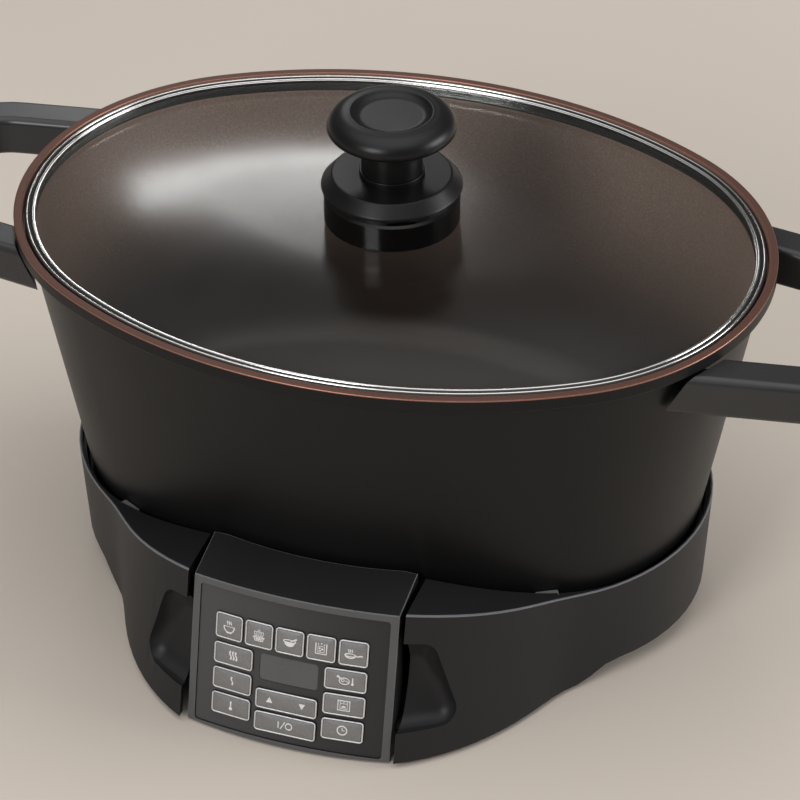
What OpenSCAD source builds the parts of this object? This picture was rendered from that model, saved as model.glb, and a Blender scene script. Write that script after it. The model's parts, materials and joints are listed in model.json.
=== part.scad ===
// Oval multicooker: a heated base with a key panel, a lift-off pot and a lift-off glass lid.
// The table is at z = 0, the front faces -Y and the pot's long side lies along X.

/* [Pot] */
// Half length of the pot over its rim
rim_half_x = 170; // [162:1:180]
// Half width of the pot over its rim
rim_half_y = 128; // [122:1:134]
// Radius of the rim's round ends
rim_end_r = 112; // [106:1:116]
// Height of the rim above the table
rim_z = 180.5; // [172:0.5:190]
// Height of the plane that the pot stands on
seat_z = 46; // [44:0.5:48]
// Wall of the pot
pot_wall = 3.4; // [2.6:0.1:4.2]
// Floor of the pot
pot_floor = 5; // [4:0.5:8]
// Lean of the pot's wall from upright, in degrees
pot_draft = 10; // [9:0.25:11]
// How far the lip stands out from the wall
lip_reach = 5.9; // [5.2:0.1:6.6]
// Height of the lip's outer face
lip_h = 6.5; // [5:0.5:9]
// Width of the flat on top of the lip
lip_flat = 3.2; // [2.4:0.1:4]
// Radius round the foot of the wall
foot_round = 12; // [8:1:14]
// Radius round the inside of the floor
inner_round = 14; // [9:1:18]

/* [Handles] */
// How far the handles reach from the middle of the pot
handle_reach = 232; // [224:1:245]
// Width of a handle's grip
grip_w = 18.5; // [15:0.5:22]
// Height of a handle's grip
grip_h = 19.5; // [15:0.5:22]
// How far the grip's top lies below the rim
grip_drop = 6.5; // [5:0.5:9]
// Half spacing of a handle's arms at the pot
arm_half_y = 52; // [46:1:58]
// How much each arm turns in towards the grip, in degrees
arm_turn = 9.3; // [5:0.1:12]
// Radius of a handle's corners, on the middle of the grip
corner_r = 29; // [24:1:34]
// Radius of the grip's long edges
grip_round = 3.5; // [2:0.5:5]
// Gap between the arm's end and the pot, at the grip's top
root_gap_top = 6; // [4:0.5:8]
// Gap between the arm's end and the pot, at the grip's underside
root_gap_low = 2; // [1:0.5:4]

/* [Lid] */
// Gap between the lid's band and the lip
lid_gap = 0.9; // [0.5:0.1:1.5]
// Width of the steel band round the glass
band_w = 4.8; // [4:0.2:7]
// Sheet of the steel band
band_t = 0.8; // [0.6:0.1:1.2]
// Thickness of the glass
glass_t = 3.6; // [3:0.2:5]
// Rise of the glass from its edge to its middle
glass_rise = 5.5; // [3:0.5:10]
// Clearance of the glass in its band
glass_fit = 0.1; // [0.05:0.05:0.3]

/* [Knob] */
// Radius of the gloss collar under the knob
collar_r = 29.8; // [26:0.2:33]
// Height of the gloss collar
collar_h = 13; // [10:0.5:16]
// Radius of the finger guard
guard_r = 30.9; // [28:0.1:34]
// Height of the finger guard
guard_h = 9.5; // [7:0.5:12]
// Radius of the knob's neck
neck_r = 13.3; // [11:0.1:16]
// Height of the knob's neck
neck_h = 21; // [16:0.5:26]
// Radius of the knob's head
head_r = 28; // [24:0.5:31]
// Height of the knob's head
head_h = 9.5; // [8:0.5:13]
// Radius of the ridge round the dish in the head
dish_r = 18; // [15:0.5:20]
// Depth of the dish in the head
dish_depth = 2; // [1:0.5:3]
// Turn of the guard's vent from the front towards the right
vent_turn = 27; // [0:1:90]

/* [Base] */
// Gap between the pot and the base's opening
pot_gap = 2.6; // [2:0.1:4]
// Width of the base's top edge where it is narrowest
edge_w = 1.5; // [1.2:0.1:3]
// Wall of the base's housing
shell_t = 3; // [2.4:0.2:4]
// Thickness of the deck round the pot
deck_t = 5; // [4:0.5:7]
// Height of the ridge beside the panel
ridge_front_z = 73; // [70:0.5:76]
// Height of the ridge along the sides and the back
ridge_side_z = 56.5; // [54:0.5:59]
// How much the deck rises from the ridge to the pot, at the front
deck_rise = 2; // [0:0.5:4]
// How far the wall leans in at the ends, from the ridge down
lean_x = 2.3; // [0:0.1:5]
// How far the wall leans in along the back, from the ridge down
lean_y = 9; // [4:0.5:11]
// Height of the housing's lower edge at the front
front_foot_z = 3; // [2:0.5:5]
// Height of the housing's lower edge along the sides
side_foot_z = 11; // [10:0.5:11.5]
// Half width of the front bulge at the ridge
bulge_ridge_x = 121; // [116:1:126]
// Half width of the front bulge at the table
bulge_foot_x = 115; // [111:1:120]
// Roundness of the front bulge's corners
bulge_power = 2.2; // [2:0.05:2.5]

/* [Panel] */
// How far the foot of the panel stands in front of the pot's axis
front_reach = 149.3; // [146:0.1:154]
// Width of the panel
panel_w = 93.5; // [90:0.5:98]
// Length of the panel up its face
panel_h = 73.2; // [72:0.1:75]
// Lean of the panel, in degrees
panel_tilt = 12.7; // [12:0.1:14]
// Radius of the panel's bow
panel_r = 210; // [180:5:260]
// Width of the panel's frame at the sides
frame_w = 3.5; // [3:0.1:4]
// Width of the panel's frame at the top and the foot
frame_h = 3.2; // [2.8:0.1:3.6]
// Gap between the panel and the housing
bay_gap = 2.7; // [2:0.1:4]
// Thickness of the fascia
fascia_t = 1.9; // [1.5:0.1:2.3]
// How deep the fascia lies below the frame
fascia_inset = 0.6; // [0.3:0.1:0.9]

/* [Keys] */
// Spacing of the keys in the top row
top_pitch = 14.2; // [13.8:0.1:14.8]
// Width of a key in the top row
top_key_w = 13; // [11:0.1:13]
// Height of a key in the top row
top_key_h = 12.2; // [10:0.1:12.6]
// Height of the top row up the panel
top_row = 52.7; // [52:0.1:53.5]
// Half spacing of the side columns
column_x = 25.7; // [25.4:0.1:26.2]
// Width of a side key
side_key_w = 18.7; // [17:0.1:19]
// Height of a side key
side_key_h = 10.3; // [9:0.1:10.8]
// Height of the lowest side key up the panel
side_row = 14.8; // [14.4:0.1:15.2]
// Spacing of the side keys up the panel
side_pitch = 12.25; // [12:0.05:12.4]
// Width of the middle keys
mid_key_w = 28.2; // [26:0.1:28.6]
// Height of the middle keys
mid_key_h = 9.5; // [8.5:0.1:10]
// Height of the power key up the panel
power_row = 11.7; // [11.4:0.1:12]
// Height of the up-down rocker up the panel
rocker_row = 22.8; // [22.4:0.1:23.2]
// Width of the display window
display_w = 26.5; // [24:0.1:27]
// Height of the display window
display_h = 12.6; // [11:0.1:13]
// Height of the display's middle up the panel
display_row = 37.7; // [37.2:0.1:38]
// How far the keys stand out of the fascia
key_proud = 0.9; // [0.5:0.1:1.4]
// Travel of a key
key_travel = 0.8; // [0.5:0.1:1]
// Clearance round a key
key_fit = 0.25; // [0.2:0.05:0.35]

/* [Heater] */
// Half length of the heating plate
plate_half_x = 118; // [108:1:122]
// Half width of the heating plate
plate_half_y = 82; // [76:1:84]
// Thickness of the heating plate
plate_t = 6; // [5:0.5:7]
// Radius of the heater tube
tube_r = 4; // [3:0.25:4]
// Radius of the temperature sensor's cup
sensor_r = 14.5; // [12:0.5:16]
// Height of the sensor's cup
sensor_h = 10; // [8:0.5:10]
// Half spacing of the plate's posts along X
post_x = 84; // [78:1:88]
// Half spacing of the plate's posts along Y
post_y = 44; // [40:1:48]

/* [Underside] */
// Height of the feet
foot_h = 12; // [11.5:0.5:13]
// Radius of the feet
foot_r = 9; // [7:0.5:11]
// Half spacing of the feet along X
foot_x = 98; // [90:1:102]
// Half spacing of the feet along Y
foot_y = 46; // [40:1:52]
// Thickness of the floor plate
floor_t = 2.5; // [2:0.1:3]
// Radius of the cord gland's bore
gland_bore_r = 4; // [3:0.25:5]

/* [Hidden] */
$fn = 64;

steps = 120;

// The middle of the object's box is the origin of the frame
pod_low_z = 1;
frame_y = (front_reach - pod_low_z * tan(panel_tilt) - rim_half_y) / 2;

// The rim is an oval of four arcs: two round ends and two long sides
end_x = rim_half_x - rim_end_r;
side_r = (end_x * end_x + rim_half_y * rim_half_y - rim_end_r * rim_end_r)
  / (2 * (rim_half_y - rim_end_r));
side_y = side_r - rim_half_y;
end_half_angle = atan2(side_y, end_x);

// Pot
cove_r = 4;
lip_bevel = 0.7;
lip_low_z = rim_z - lip_h;
band_h = glass_t + 2 * glass_fit + 2 * band_t;
rest_gap = 0.03;
band_low_z = rim_z - 0.6 - band_h;
ledge_z = band_low_z - rest_gap;
lip_in_d = -lip_flat - lip_bevel;
ledge_in_d = lip_in_d - 5.7;
floor_d = -60;
wall_run = tan(pot_draft);
inner_d = pot_wall / cos(pot_draft);

// Handles
grip_top_z = rim_z - grip_drop;
grip_low_z = grip_top_z - grip_h;
grip_z = grip_top_z - grip_h / 2;
arm_root_x = rim_half_x - 7;
corner_x = handle_reach - grip_w / 2 - corner_r;
arm_end_x = corner_x + corner_r * sin(arm_turn);
arm_len = (arm_end_x - arm_root_x) / cos(arm_turn);
corner_y = arm_half_y - arm_len * sin(arm_turn) - corner_r * cos(arm_turn);
root_low_r = rim_end_r + wall_d(grip_low_z) + root_gap_low;
root_top_r = rim_end_r + wall_d(grip_top_z) + root_gap_top;
lug_z_d = wall_d(grip_z) - pot_wall / 2;
lug_from = end_x + sqrt(pow(rim_end_r + lug_z_d, 2) - pow(arm_half_y, 2)) - arm_root_x;
lug_to = lug_from + 20;
lug_x = arm_root_x + (lug_to - 5) * cos(arm_turn);
lug_y = arm_half_y - (lug_to - 5) * sin(arm_turn);

// Lid
band_d = lip_in_d - lid_gap;
band_in_d = band_d - band_w;
band_back = 2.7;
bead_r = 0.8;
glass_low_z = band_low_z + band_t + glass_fit;
glass_edge_z = glass_low_z + glass_t;
glass_top_z = glass_edge_z + glass_rise;
glass_edge_d = band_d - band_back - 0.3;
glass_flat_d = -92;

// Knob
collar_top_z = glass_top_z + collar_h;
guard_top_z = collar_top_z + guard_h;
neck_top_z = guard_top_z + neck_h;
head_top_z = neck_top_z + head_h;
stem_r = 4;
stem_hole_r = 4.4;
stem_top_z = neck_top_z - 4;
head_low_r = 2.3;
crown_w = head_r - dish_r - 1.2;
crown_h = head_h - head_low_r;
washer_t = 2;

// Base: the opening follows the pot, and the ridge follows the opening
ridge_d = wall_d(ridge_side_z) + pot_gap + edge_w;
panel_bow = panel_r - sqrt(panel_r * panel_r - panel_w * panel_w / 4);
bay_half = panel_w / 2 + bay_gap;
shoulder_proud_low = 3;
shoulder_proud_high = 0.6;
bulge_ridge_y = bulge_reach(ridge_front_z, shoulder_proud_high, bulge_ridge_x);
bulge_foot_y = bulge_reach(front_foot_z, shoulder_proud_low, bulge_foot_x);
blend_power = 30;
ridge_start = 12;
ridge_end = 64;
step_start = 57;
step_end = 65;
ridge_round = 0.7;

// Underside and inside
floor_top_z = foot_h + floor_t;
floor_gap = 0.5;
liner_t = 1.2;
liner_z = 30;
liner_draw = 0.88;
plate_low_z = seat_z - plate_t;
boss_top_z = 30;
boss_r = 4;
boss_angles = [35, 145, 222, 318];
screw_r = 1.5;
pod_wall = 2.5;
frame_depth = 5;
pod_front_y = panel_edge_y(0) + panel_bow - panel_h * sin(panel_tilt);
pod_front_z = panel_h * cos(panel_tilt);
pod_back_z = ridge_front_z + deck_rise - 0.2;
pod_back_y = wall_half_y(pod_back_z) + pot_gap;
pod_mid_y = pod_front_y - 8;
pod_mid_z = pod_back_z - 14;
deck_slope = (pod_back_z - pod_front_z) / (pod_front_y - pod_back_y);
bow_r = side_r + wall_d(pod_back_z) + pot_gap;
window_half = 38.6;
window_low = power_row - mid_key_h / 2 - 2;
window_high = top_row + top_key_h / 2 + 2;
display_sag = panel_r - sqrt(panel_r * panel_r - display_w * display_w / 4);
floor_front_y = front_reach - 15.5;
board_y = 9.2;
board_t = 1.6;
board_half_w = 41;
board_low = 6.7;
key_back = fascia_inset + fascia_t + 0.3;
key_flange_t = 0.9;
key_flange = 0.7;
tab_w = 7;
dome_gap = 0.1;
rocker_gap = 0.8;
pivot_r = 1.2;
rocker_pivot_y = key_back + key_flange_t + 1;
gland_z = 27;
gland_r = 7;
bay_back_y = wall_half_y(ridge_front_z) * 0.86;
post_r = 3;
tube_d = -80;
tube_end_x = 14;
fuse_x = 45;
gland_lean = atan2(lean_y, ridge_side_z - side_foot_z);
locator_angle = 320.8;
locator_turn = 61.1;
locator_gap = 0.3;

// Helpers

function mix(a, b, s) = a + (b - a) * s;
function smooth(s) = let(t = max(0, min(1, s))) t * t * (3 - 2 * t);
function arc(cx, cy, r, from, to, count) =
  [for (i = [0 : count]) let(t = mix(from, to, i / count)) [cx + r * cos(t), cy + r * sin(t)]];
// Distance of a superellipse's edge from its middle, in one direction
function oval_reach(angle, a, b, n) =
  pow(pow(abs(cos(angle)) / a, n) + pow(abs(sin(angle)) / b, n), -1 / n);
function sum(values, i = 0) = i < len(values) ? values[i] + sum(values, i + 1) : 0;
function from_front(angle) = let(d = abs(angle - 270)) min(d, 360 - d);

// Offset of the pot's outer wall from the rim's outline, at a height
function wall_d(z) = -lip_reach - (lip_low_z - cove_r - z) * wall_run;
function wall_half_y(z) = rim_half_y + wall_d(z);

// Distance from the pot's axis to the rim's outline at an offset, in one direction
function rim_reach(angle, d) =
  let(
    c = abs(cos(angle)), s = abs(sin(angle)), end_r = rim_end_r + d,
    on_end = s * (end_x + end_r * cos(end_half_angle)) < c * end_r * sin(end_half_angle)
  )
  on_end
    ? end_x * c + sqrt(end_r * end_r - pow(end_x * s, 2))
    : sqrt(pow(side_r + d, 2) - pow(side_y * c, 2)) - side_y * s;

// Distance from the pot's axis to the edge of the panel's face, at a height
function panel_edge_y(z) = front_reach - panel_bow - z * tan(panel_tilt);
function bulge_reach(z, proud, half_x) =
  (panel_edge_y(z) + proud) / pow(1 - pow(bay_half / half_x, bulge_power), 1 / bulge_power);
function bulge_y(x, z) =
  let(
    s = (z - front_foot_z) / (ridge_front_z - front_foot_z),
    half_x = mix(bulge_foot_x, bulge_ridge_x, s)
  )
  mix(bulge_foot_y, bulge_ridge_y, s) * pow(1 - pow(abs(x) / half_x, bulge_power), 1 / bulge_power);

// The housing's outline, from its lower edge (s = 0) to its ridge (s = 1)
function base_reach(angle, s) =
  let(
    oval = rim_reach(angle, ridge_d) - (1 - s) * mix(lean_y, lean_x, pow(cos(angle), 2)),
    half_x = mix(bulge_foot_x, bulge_ridge_x, s),
    half_y = mix(bulge_foot_y, bulge_ridge_y, s),
    bulge = sin(angle) < 0 ? oval_reach(angle, half_x, half_y, bulge_power) : 1
  )
  pow(pow(oval, blend_power) + pow(bulge, blend_power), 1 / blend_power);
function ridge_z(angle) =
  let(share = (from_front(angle) - ridge_start) / (ridge_end - ridge_start))
  mix(ridge_front_z, ridge_side_z, smooth(share));
function deck_z(angle) =
  ridge_z(angle) + deck_rise * (1 - smooth(from_front(angle) / ridge_end));
function lower_z(angle) =
  mix(front_foot_z, side_foot_z, smooth((from_front(angle) - step_start) / (step_end - step_start)));
function rise_share(angle, z) = (z - lower_z(angle)) / (ridge_z(angle) - lower_z(angle));
function opening_reach(angle) = rim_reach(angle, wall_d(deck_z(angle)) + pot_gap);
function inner_reach(angle, z) = base_reach(angle, rise_share(angle, z)) - shell_t;

// A point of [reach, height], turned to an angle
function spin_point(angle, p) = [p[0] * cos(angle), p[0] * sin(angle), p[1]];

// Faces of a skin over rings of n points; a closed skin joins its last ring to its first
function skin_faces(rings, n, closed) = [
  for (i = [0 : rings - (closed ? 1 : 2)], j = [0 : n - 1])
    let(a = i * n + j, b = i * n + (j + 1) % n, up = ((i + 1) % rings - i) * n)
    each [[a, a + up, b + up], [a, b + up, b]]
];

// Ring-shaped solid from rows of [reach, z] taken round the profile at each angle
module ring_solid(profiles) {
  n = len(profiles);
  rows = len(profiles[0]);
  points = [for (i = [0 : rows - 1], j = [0 : n - 1]) spin_point(360 * j / n, profiles[j][i])];
  polyhedron(points, skin_faces(rows, n, true), convexity = 10);
}

// Faces of a skin over rings of n points whose first and last ring each close on a middle point
function capped_faces(rings, n) = let(low = rings * n, last = (rings - 1) * n) concat(
  skin_faces(rings, n, false),
  [for (j = [0 : n - 1]) [low, j, (j + 1) % n]],
  [for (j = [0 : n - 1]) [low + 1, last + (j + 1) % n, last + j]]
);

// Solid from rows of [reach, z] between a middle point below and one above
module capped_solid(profiles, low_z, high_z) {
  n = len(profiles);
  rows = len(profiles[0]);
  points = concat(
    [for (i = [0 : rows - 1], j = [0 : n - 1]) spin_point(360 * j / n, profiles[j][i])],
    [[0, 0, low_z], [0, 0, high_z]]
  );
  polyhedron(points, capped_faces(rows, n), convexity = 10);
}

// Everything is drawn about the pot's axis and then moved to the frame
module placed() {
  translate([0, frame_y, 0]) children();
}

// Sweeps a profile round the rim's outline; the profile's x is the offset from it
module oval_sweep() {
  for (turn = [0, 180]) rotate(turn) {
    translate([end_x, 0, 0]) rotate(-end_half_angle)
      rotate_extrude(angle = 2 * end_half_angle) translate([rim_end_r, 0]) children();
    translate([0, -side_y, 0]) rotate(end_half_angle)
      rotate_extrude(angle = 180 - 2 * end_half_angle) translate([side_r, 0]) children();
  }
}

// Flat plate with the rim's outline at an offset
module oval_plate(d, low, high) {
  reach = [end_x + (rim_end_r + d) * cos(end_half_angle), (rim_end_r + d) * sin(end_half_angle)];
  translate([0, 0, low]) linear_extrude(high - low) {
    for (side = [-1, 1]) translate([side * end_x, 0]) circle(rim_end_r + d);
    intersection() {
      for (side = [-1, 1]) translate([0, side * side_y]) intersection() {
        circle(side_r + d);
        translate([-rim_half_x, side < 0 ? side_y : -side_y - rim_half_y])
          square([2 * rim_half_x, rim_half_y]);
      }
      square([2 * reach[0], 2 * rim_half_y], center = true);
    }
    square([2 * end_x, 2 * reach[1]], center = true);
  }
}

// Plain ellipse plate, for hidden metalwork
module ellipse_plate(half_x, half_y, low, high) {
  translate([0, 0, low]) linear_extrude(high - low)
    polygon([for (i = [0 : steps - 1]) [half_x * cos(360 * i / steps), half_y * sin(360 * i / steps)]]);
}

// Rectangle with round corners, about its middle
module round_rect(w, h, r) {
  square([w - 2 * r, h], center = true);
  square([w, h - 2 * r], center = true);
  for (x = [-1, 1], y = [-1, 1]) translate([x * (w / 2 - r), y * (h / 2 - r)]) circle(r);
}

// The panel's own frame: x across, z up the face, -y outwards
module on_panel() {
  placed() translate([0, -front_reach, 0]) rotate([-panel_tilt, 0, 0]) children();
}

// A place on the panel's bowed face
module on_face(u, w) {
  on_panel() translate([0, panel_r, w]) rotate(asin(u / panel_r)) translate([0, -panel_r, 0]) children();
}

// Part of the panel's bow between two depths below its face
module bowed_slab(half_w, low, high, depth, back) {
  on_panel() intersection() {
    translate([0, panel_r, low]) difference() {
      cylinder(h = high - low, r = panel_r - depth, $fn = 180);
      translate([0, 0, -1]) cylinder(h = high - low + 2, r = panel_r - back, $fn = 180);
    }
    translate([-half_w, -5, low - 1]) cube([2 * half_w, 40, high - low + 2]);
  }
}

// Pot

module pot_profile() {
  foot_c = [wall_d(seat_z + foot_round) - foot_round / cos(pot_draft), seat_z + foot_round];
  in_z = seat_z + pot_floor + inner_round;
  in_c = [wall_d(in_z) - inner_d - inner_round / cos(pot_draft), in_z];
  top_r = 1.4;
  edge_r = 1;
  polygon(concat(
    [[floor_d, seat_z]],
    arc(foot_c[0], foot_c[1], foot_round, -90, -pot_draft, 6),
    arc(-lip_reach + cove_r, lip_low_z - cove_r, cove_r, 180, 90, 4),
    arc(-edge_r, lip_low_z + edge_r, edge_r, -90, 0, 3),
    arc(-top_r, rim_z - top_r, top_r, 0, 90, 5),
    [[-lip_flat, rim_z], [lip_in_d, rim_z - lip_bevel], [lip_in_d, ledge_z], [ledge_in_d, ledge_z]],
    arc(in_c[0], in_c[1], inner_round, -pot_draft, -90, 6),
    [[floor_d, seat_z + pot_floor]]
  ));
}

module pot_body() {
  color([0.17, 0.17, 0.18]) placed() {
    oval_sweep() pot_profile();
    oval_plate(floor_d + 1, seat_z, seat_z + pot_floor);
  }
}

// Handles

// Section of the grip, across and up
grip_section = concat(
  arc(grip_w / 2 - grip_round, grip_h / 2 - grip_round, grip_round, 0, 90, 4),
  arc(grip_round - grip_w / 2, grip_h / 2 - grip_round, grip_round, 90, 180, 4),
  arc(grip_round - grip_w / 2, grip_round - grip_h / 2, grip_round, 180, 270, 4),
  arc(grip_w / 2 - grip_round, grip_round - grip_h / 2, grip_round, 270, 360, 4)
);
corner_angles = [for (i = [0 : 10]) mix(90 - arm_turn, 0, i / 10)];

// The grip's section at a place on its middle line, square to its heading
function grip_ring(x, y, heading) =
  [for (p = grip_section) [x - p[0] * sin(heading), y + p[0] * cos(heading), grip_z + p[1]]];

// The end of an arm, cut to follow the pot's wall at a gap
function root_ring(side) = [for (p = grip_section) let(
  out = [cos(arm_turn), -side * sin(arm_turn)],
  at = [arm_root_x - end_x + p[0] * sin(arm_turn), side * (arm_half_y + p[0] * cos(arm_turn))],
  reach = mix(root_low_r, root_top_r, p[1] / grip_h + 0.5),
  along = -at * out, run = along + sqrt(along * along - at * at + reach * reach)
) [end_x + at[0] + run * out[0], at[1] + run * out[1], grip_z + p[1]]];

function ring_middle(ring) = [for (k = [0 : 2]) sum([for (p = ring) p[k]]) / len(ring)];

module handle_loop() {
  n = len(grip_section);
  rings = concat(
    [root_ring(1)],
    [for (t = corner_angles)
      grip_ring(corner_x + corner_r * cos(t), corner_y + corner_r * sin(t), t - 90)],
    [for (i = [10 : -1 : 0]) let(t = -corner_angles[i])
      grip_ring(corner_x + corner_r * cos(t), corner_r * sin(t) - corner_y, t - 90)],
    [root_ring(-1)]
  );
  points = concat(
    [for (ring = rings) each ring],
    [ring_middle(rings[0]), ring_middle(rings[len(rings) - 1])]
  );
  difference() {
    polyhedron(points, capped_faces(len(rings), n), convexity = 10);
    for (side = [-1, 1]) translate([lug_x, side * lug_y, grip_low_z - 1])
      cylinder(h = grip_h / 2 + 1.3, r = screw_r + 0.3, $fn = 24);
  }
}

module handle_right() {
  color([0.13, 0.13, 0.14]) placed() handle_loop();
}

module handle_left() {
  color([0.13, 0.13, 0.14]) placed() mirror([1, 0, 0]) handle_loop();
}

module handle_brackets() {
  lug_w = grip_w - 8;
  lug_h = grip_h - 9;
  color([0.3, 0.3, 0.32]) placed() for (end = [0, 1], side = [-1, 1]) mirror([end, 0, 0])
    difference() {
      translate([arm_root_x, side * arm_half_y, grip_z]) rotate([0, 0, -side * arm_turn])
        translate([lug_from, -lug_w / 2, -lug_h / 2]) cube([lug_to - lug_from, lug_w, lug_h]);
      translate([lug_x, side * lug_y, grip_low_z]) cylinder(h = grip_h / 2 + 2, r = screw_r + 0.3);
    }
}

module handle_screws() {
  color([0.5, 0.5, 0.52]) placed() for (end = [-1, 1], side = [-1, 1])
    translate([end * lug_x, side * lug_y, grip_low_z]) {
      translate([0, 0, -1.8]) cylinder(h = 1.8, r = 3.2);
      translate([0, 0, -1]) cylinder(h = grip_h / 2 + 1, r = screw_r);
    }
}

// Lid

module lid_band() {
  top = band_low_z + band_h;
  color([0.8, 0.8, 0.8]) placed() {
    difference() {
      oval_plate(band_d, band_low_z, top);
      oval_plate(band_in_d, band_low_z - 1, top + 1);
      oval_plate(band_d - band_back, band_low_z + band_t, top - band_t);
    }
    for (d = [band_d - bead_r - 0.4, band_in_d + bead_r + 0.3])
      translate([0, 0, top - 0.15]) oval_sweep() translate([d, 0]) circle(bead_r - 0.3, $fn = 24);
  }
}

module glass_profile() {
  rim_d = band_in_d - 1;
  curve = [for (i = [0 : 10]) [mix(rim_d, glass_flat_d, i / 10), glass_rise * sin(9 * i)]];
  polygon(concat(
    [[glass_edge_d, glass_low_z], [glass_edge_d, glass_edge_z]],
    [for (p = curve) [p[0], p[1] + glass_edge_z]],
    [for (i = [10 : -1 : 0]) [curve[i][0], curve[i][1] + glass_low_z]]
  ));
}

module lid_glass() {
  color([0.75, 0.85, 0.85, 0.35]) placed() difference() {
    union() {
      oval_sweep() glass_profile();
      oval_plate(glass_flat_d + 1, glass_top_z - glass_t, glass_top_z);
    }
    translate([0, 0, glass_top_z - glass_t - 1]) cylinder(h = glass_t + 2, r = stem_hole_r);
  }
}

module knob_collar() {
  color([0.03, 0.03, 0.03]) placed() rotate_extrude($fn = 96) polygon([
    [stem_hole_r, glass_top_z], [collar_r, glass_top_z], [collar_r, collar_top_z - 1],
    [collar_r - 1, collar_top_z], [stem_hole_r, collar_top_z]
  ]);
}

module knob_guard() {
  z = collar_top_z;
  color([0.1, 0.1, 0.1]) placed() difference() {
    rotate_extrude($fn = 96) polygon([
      [stem_hole_r, z], [guard_r - 2.1, z], [guard_r - 2.1, z + 2], [guard_r - 0.9, z + 2.3],
      [guard_r - 0.2, z + 3], [guard_r, z + 3.8], [guard_r - 0.4, z + 4.9],
      [guard_r - 3.9, guard_top_z - 0.8], [guard_r - 4.6, guard_top_z - 0.2],
      [guard_r - 5.5, guard_top_z], [stem_hole_r, guard_top_z]
    ]);
    rotate(vent_turn) translate([0, 4 - guard_r, z - 4.4]) rotate([90, 0, 0]) cylinder(h = 8, r = 8);
  }
}

module knob_head() {
  low = neck_top_z;
  top = head_top_z;
  color([0.12, 0.12, 0.12]) placed() rotate_extrude($fn = 96) polygon(concat(
    [[stem_hole_r, guard_top_z], [neck_r + 0.9, guard_top_z], [neck_r + 0.9, guard_top_z + 1.6]],
    [[neck_r + 0.5, guard_top_z + 2], [neck_r, guard_top_z + 2]],
    arc(neck_r + 3, low - 3, 3, 180, 90, 4),
    arc(head_r - head_low_r, low + head_low_r, head_low_r, -90, 0, 4),
    [for (t = [10 : 10 : 80]) [dish_r + 1.2 + crown_w * cos(t), top - crown_h * (1 - sin(t))]],
    [[dish_r + 1.2, top], [dish_r, top + 0.2], [dish_r - 1, top - 0.3]],
    arc(dish_r - 5, top - dish_depth + 6, 6, -50, -90, 3),
    [[0, top - dish_depth], [0, stem_top_z], [stem_hole_r, stem_top_z]]
  ));
}

module knob_screw() {
  low = glass_top_z - glass_t - washer_t;
  color([0.6, 0.6, 0.62]) placed() {
    translate([0, 0, low - 3.2]) cylinder(h = 3.2, r1 = 5.5, r2 = 8);
    translate([0, 0, low - 1]) cylinder(h = stem_top_z - 0.1 - low + 1, r = stem_r);
  }
}

module knob_washer() {
  low = glass_top_z - glass_t - washer_t;
  color([0.2, 0.2, 0.2]) placed() translate([0, 0, low]) difference() {
    cylinder(h = washer_t, r = 13);
    translate([0, 0, -1]) cylinder(h = washer_t + 2, r = stem_hole_r);
  }
}

// Base

function housing_profile(angle) =
  let(
    low = lower_z(angle), high = ridge_z(angle), deck = deck_z(angle),
    out_low = base_reach(angle, 0), out_high = base_reach(angle, 1), open = opening_reach(angle)
  )
  [
    [out_low, low],
    [base_reach(angle, rise_share(angle, high - ridge_round)), high - ridge_round],
    [out_high - 0.3 * ridge_round, high - 0.3 * ridge_round],
    [out_high - ridge_round, high],
    [open + 0.4, deck],
    [open, deck - 0.4],
    [open, deck - deck_t],
    [inner_reach(angle, high - deck_t), high - deck_t],
    [out_low - shell_t, low]
  ];

scoop_r = 8;
scoop_top_z = ridge_front_z - 22;
scoop_low_z = floor_top_z + scoop_r + 1.8;
scoop_spots = [
  [bay_half - 9, scoop_top_z + 1, 0], [bay_half + 7.5, scoop_top_z - 1, 0],
  [bay_half - 9, scoop_low_z, 0], [bay_half + 16, scoop_low_z + 0.5, 0],
  [bay_half - 9, scoop_top_z - 6, 4], [bay_half + 5.5, scoop_top_z - 7, 4],
  [bay_half - 9, scoop_low_z + 10, 3], [bay_half + 11, scoop_low_z + 10, 3]
];

module scoop(grow) {
  hull() for (p = scoop_spots)
    translate([p[0], p[2] - bulge_y(p[0], p[1]), p[1]]) sphere(scoop_r + grow, $fn = 24);
}

function boss_reach(angle) = floor_reach(angle) - boss_r - 1;
function floor_reach(angle) =
  min(base_reach(angle, 0), base_reach(angle, rise_share(angle, floor_top_z))) - shell_t - floor_gap;

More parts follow.
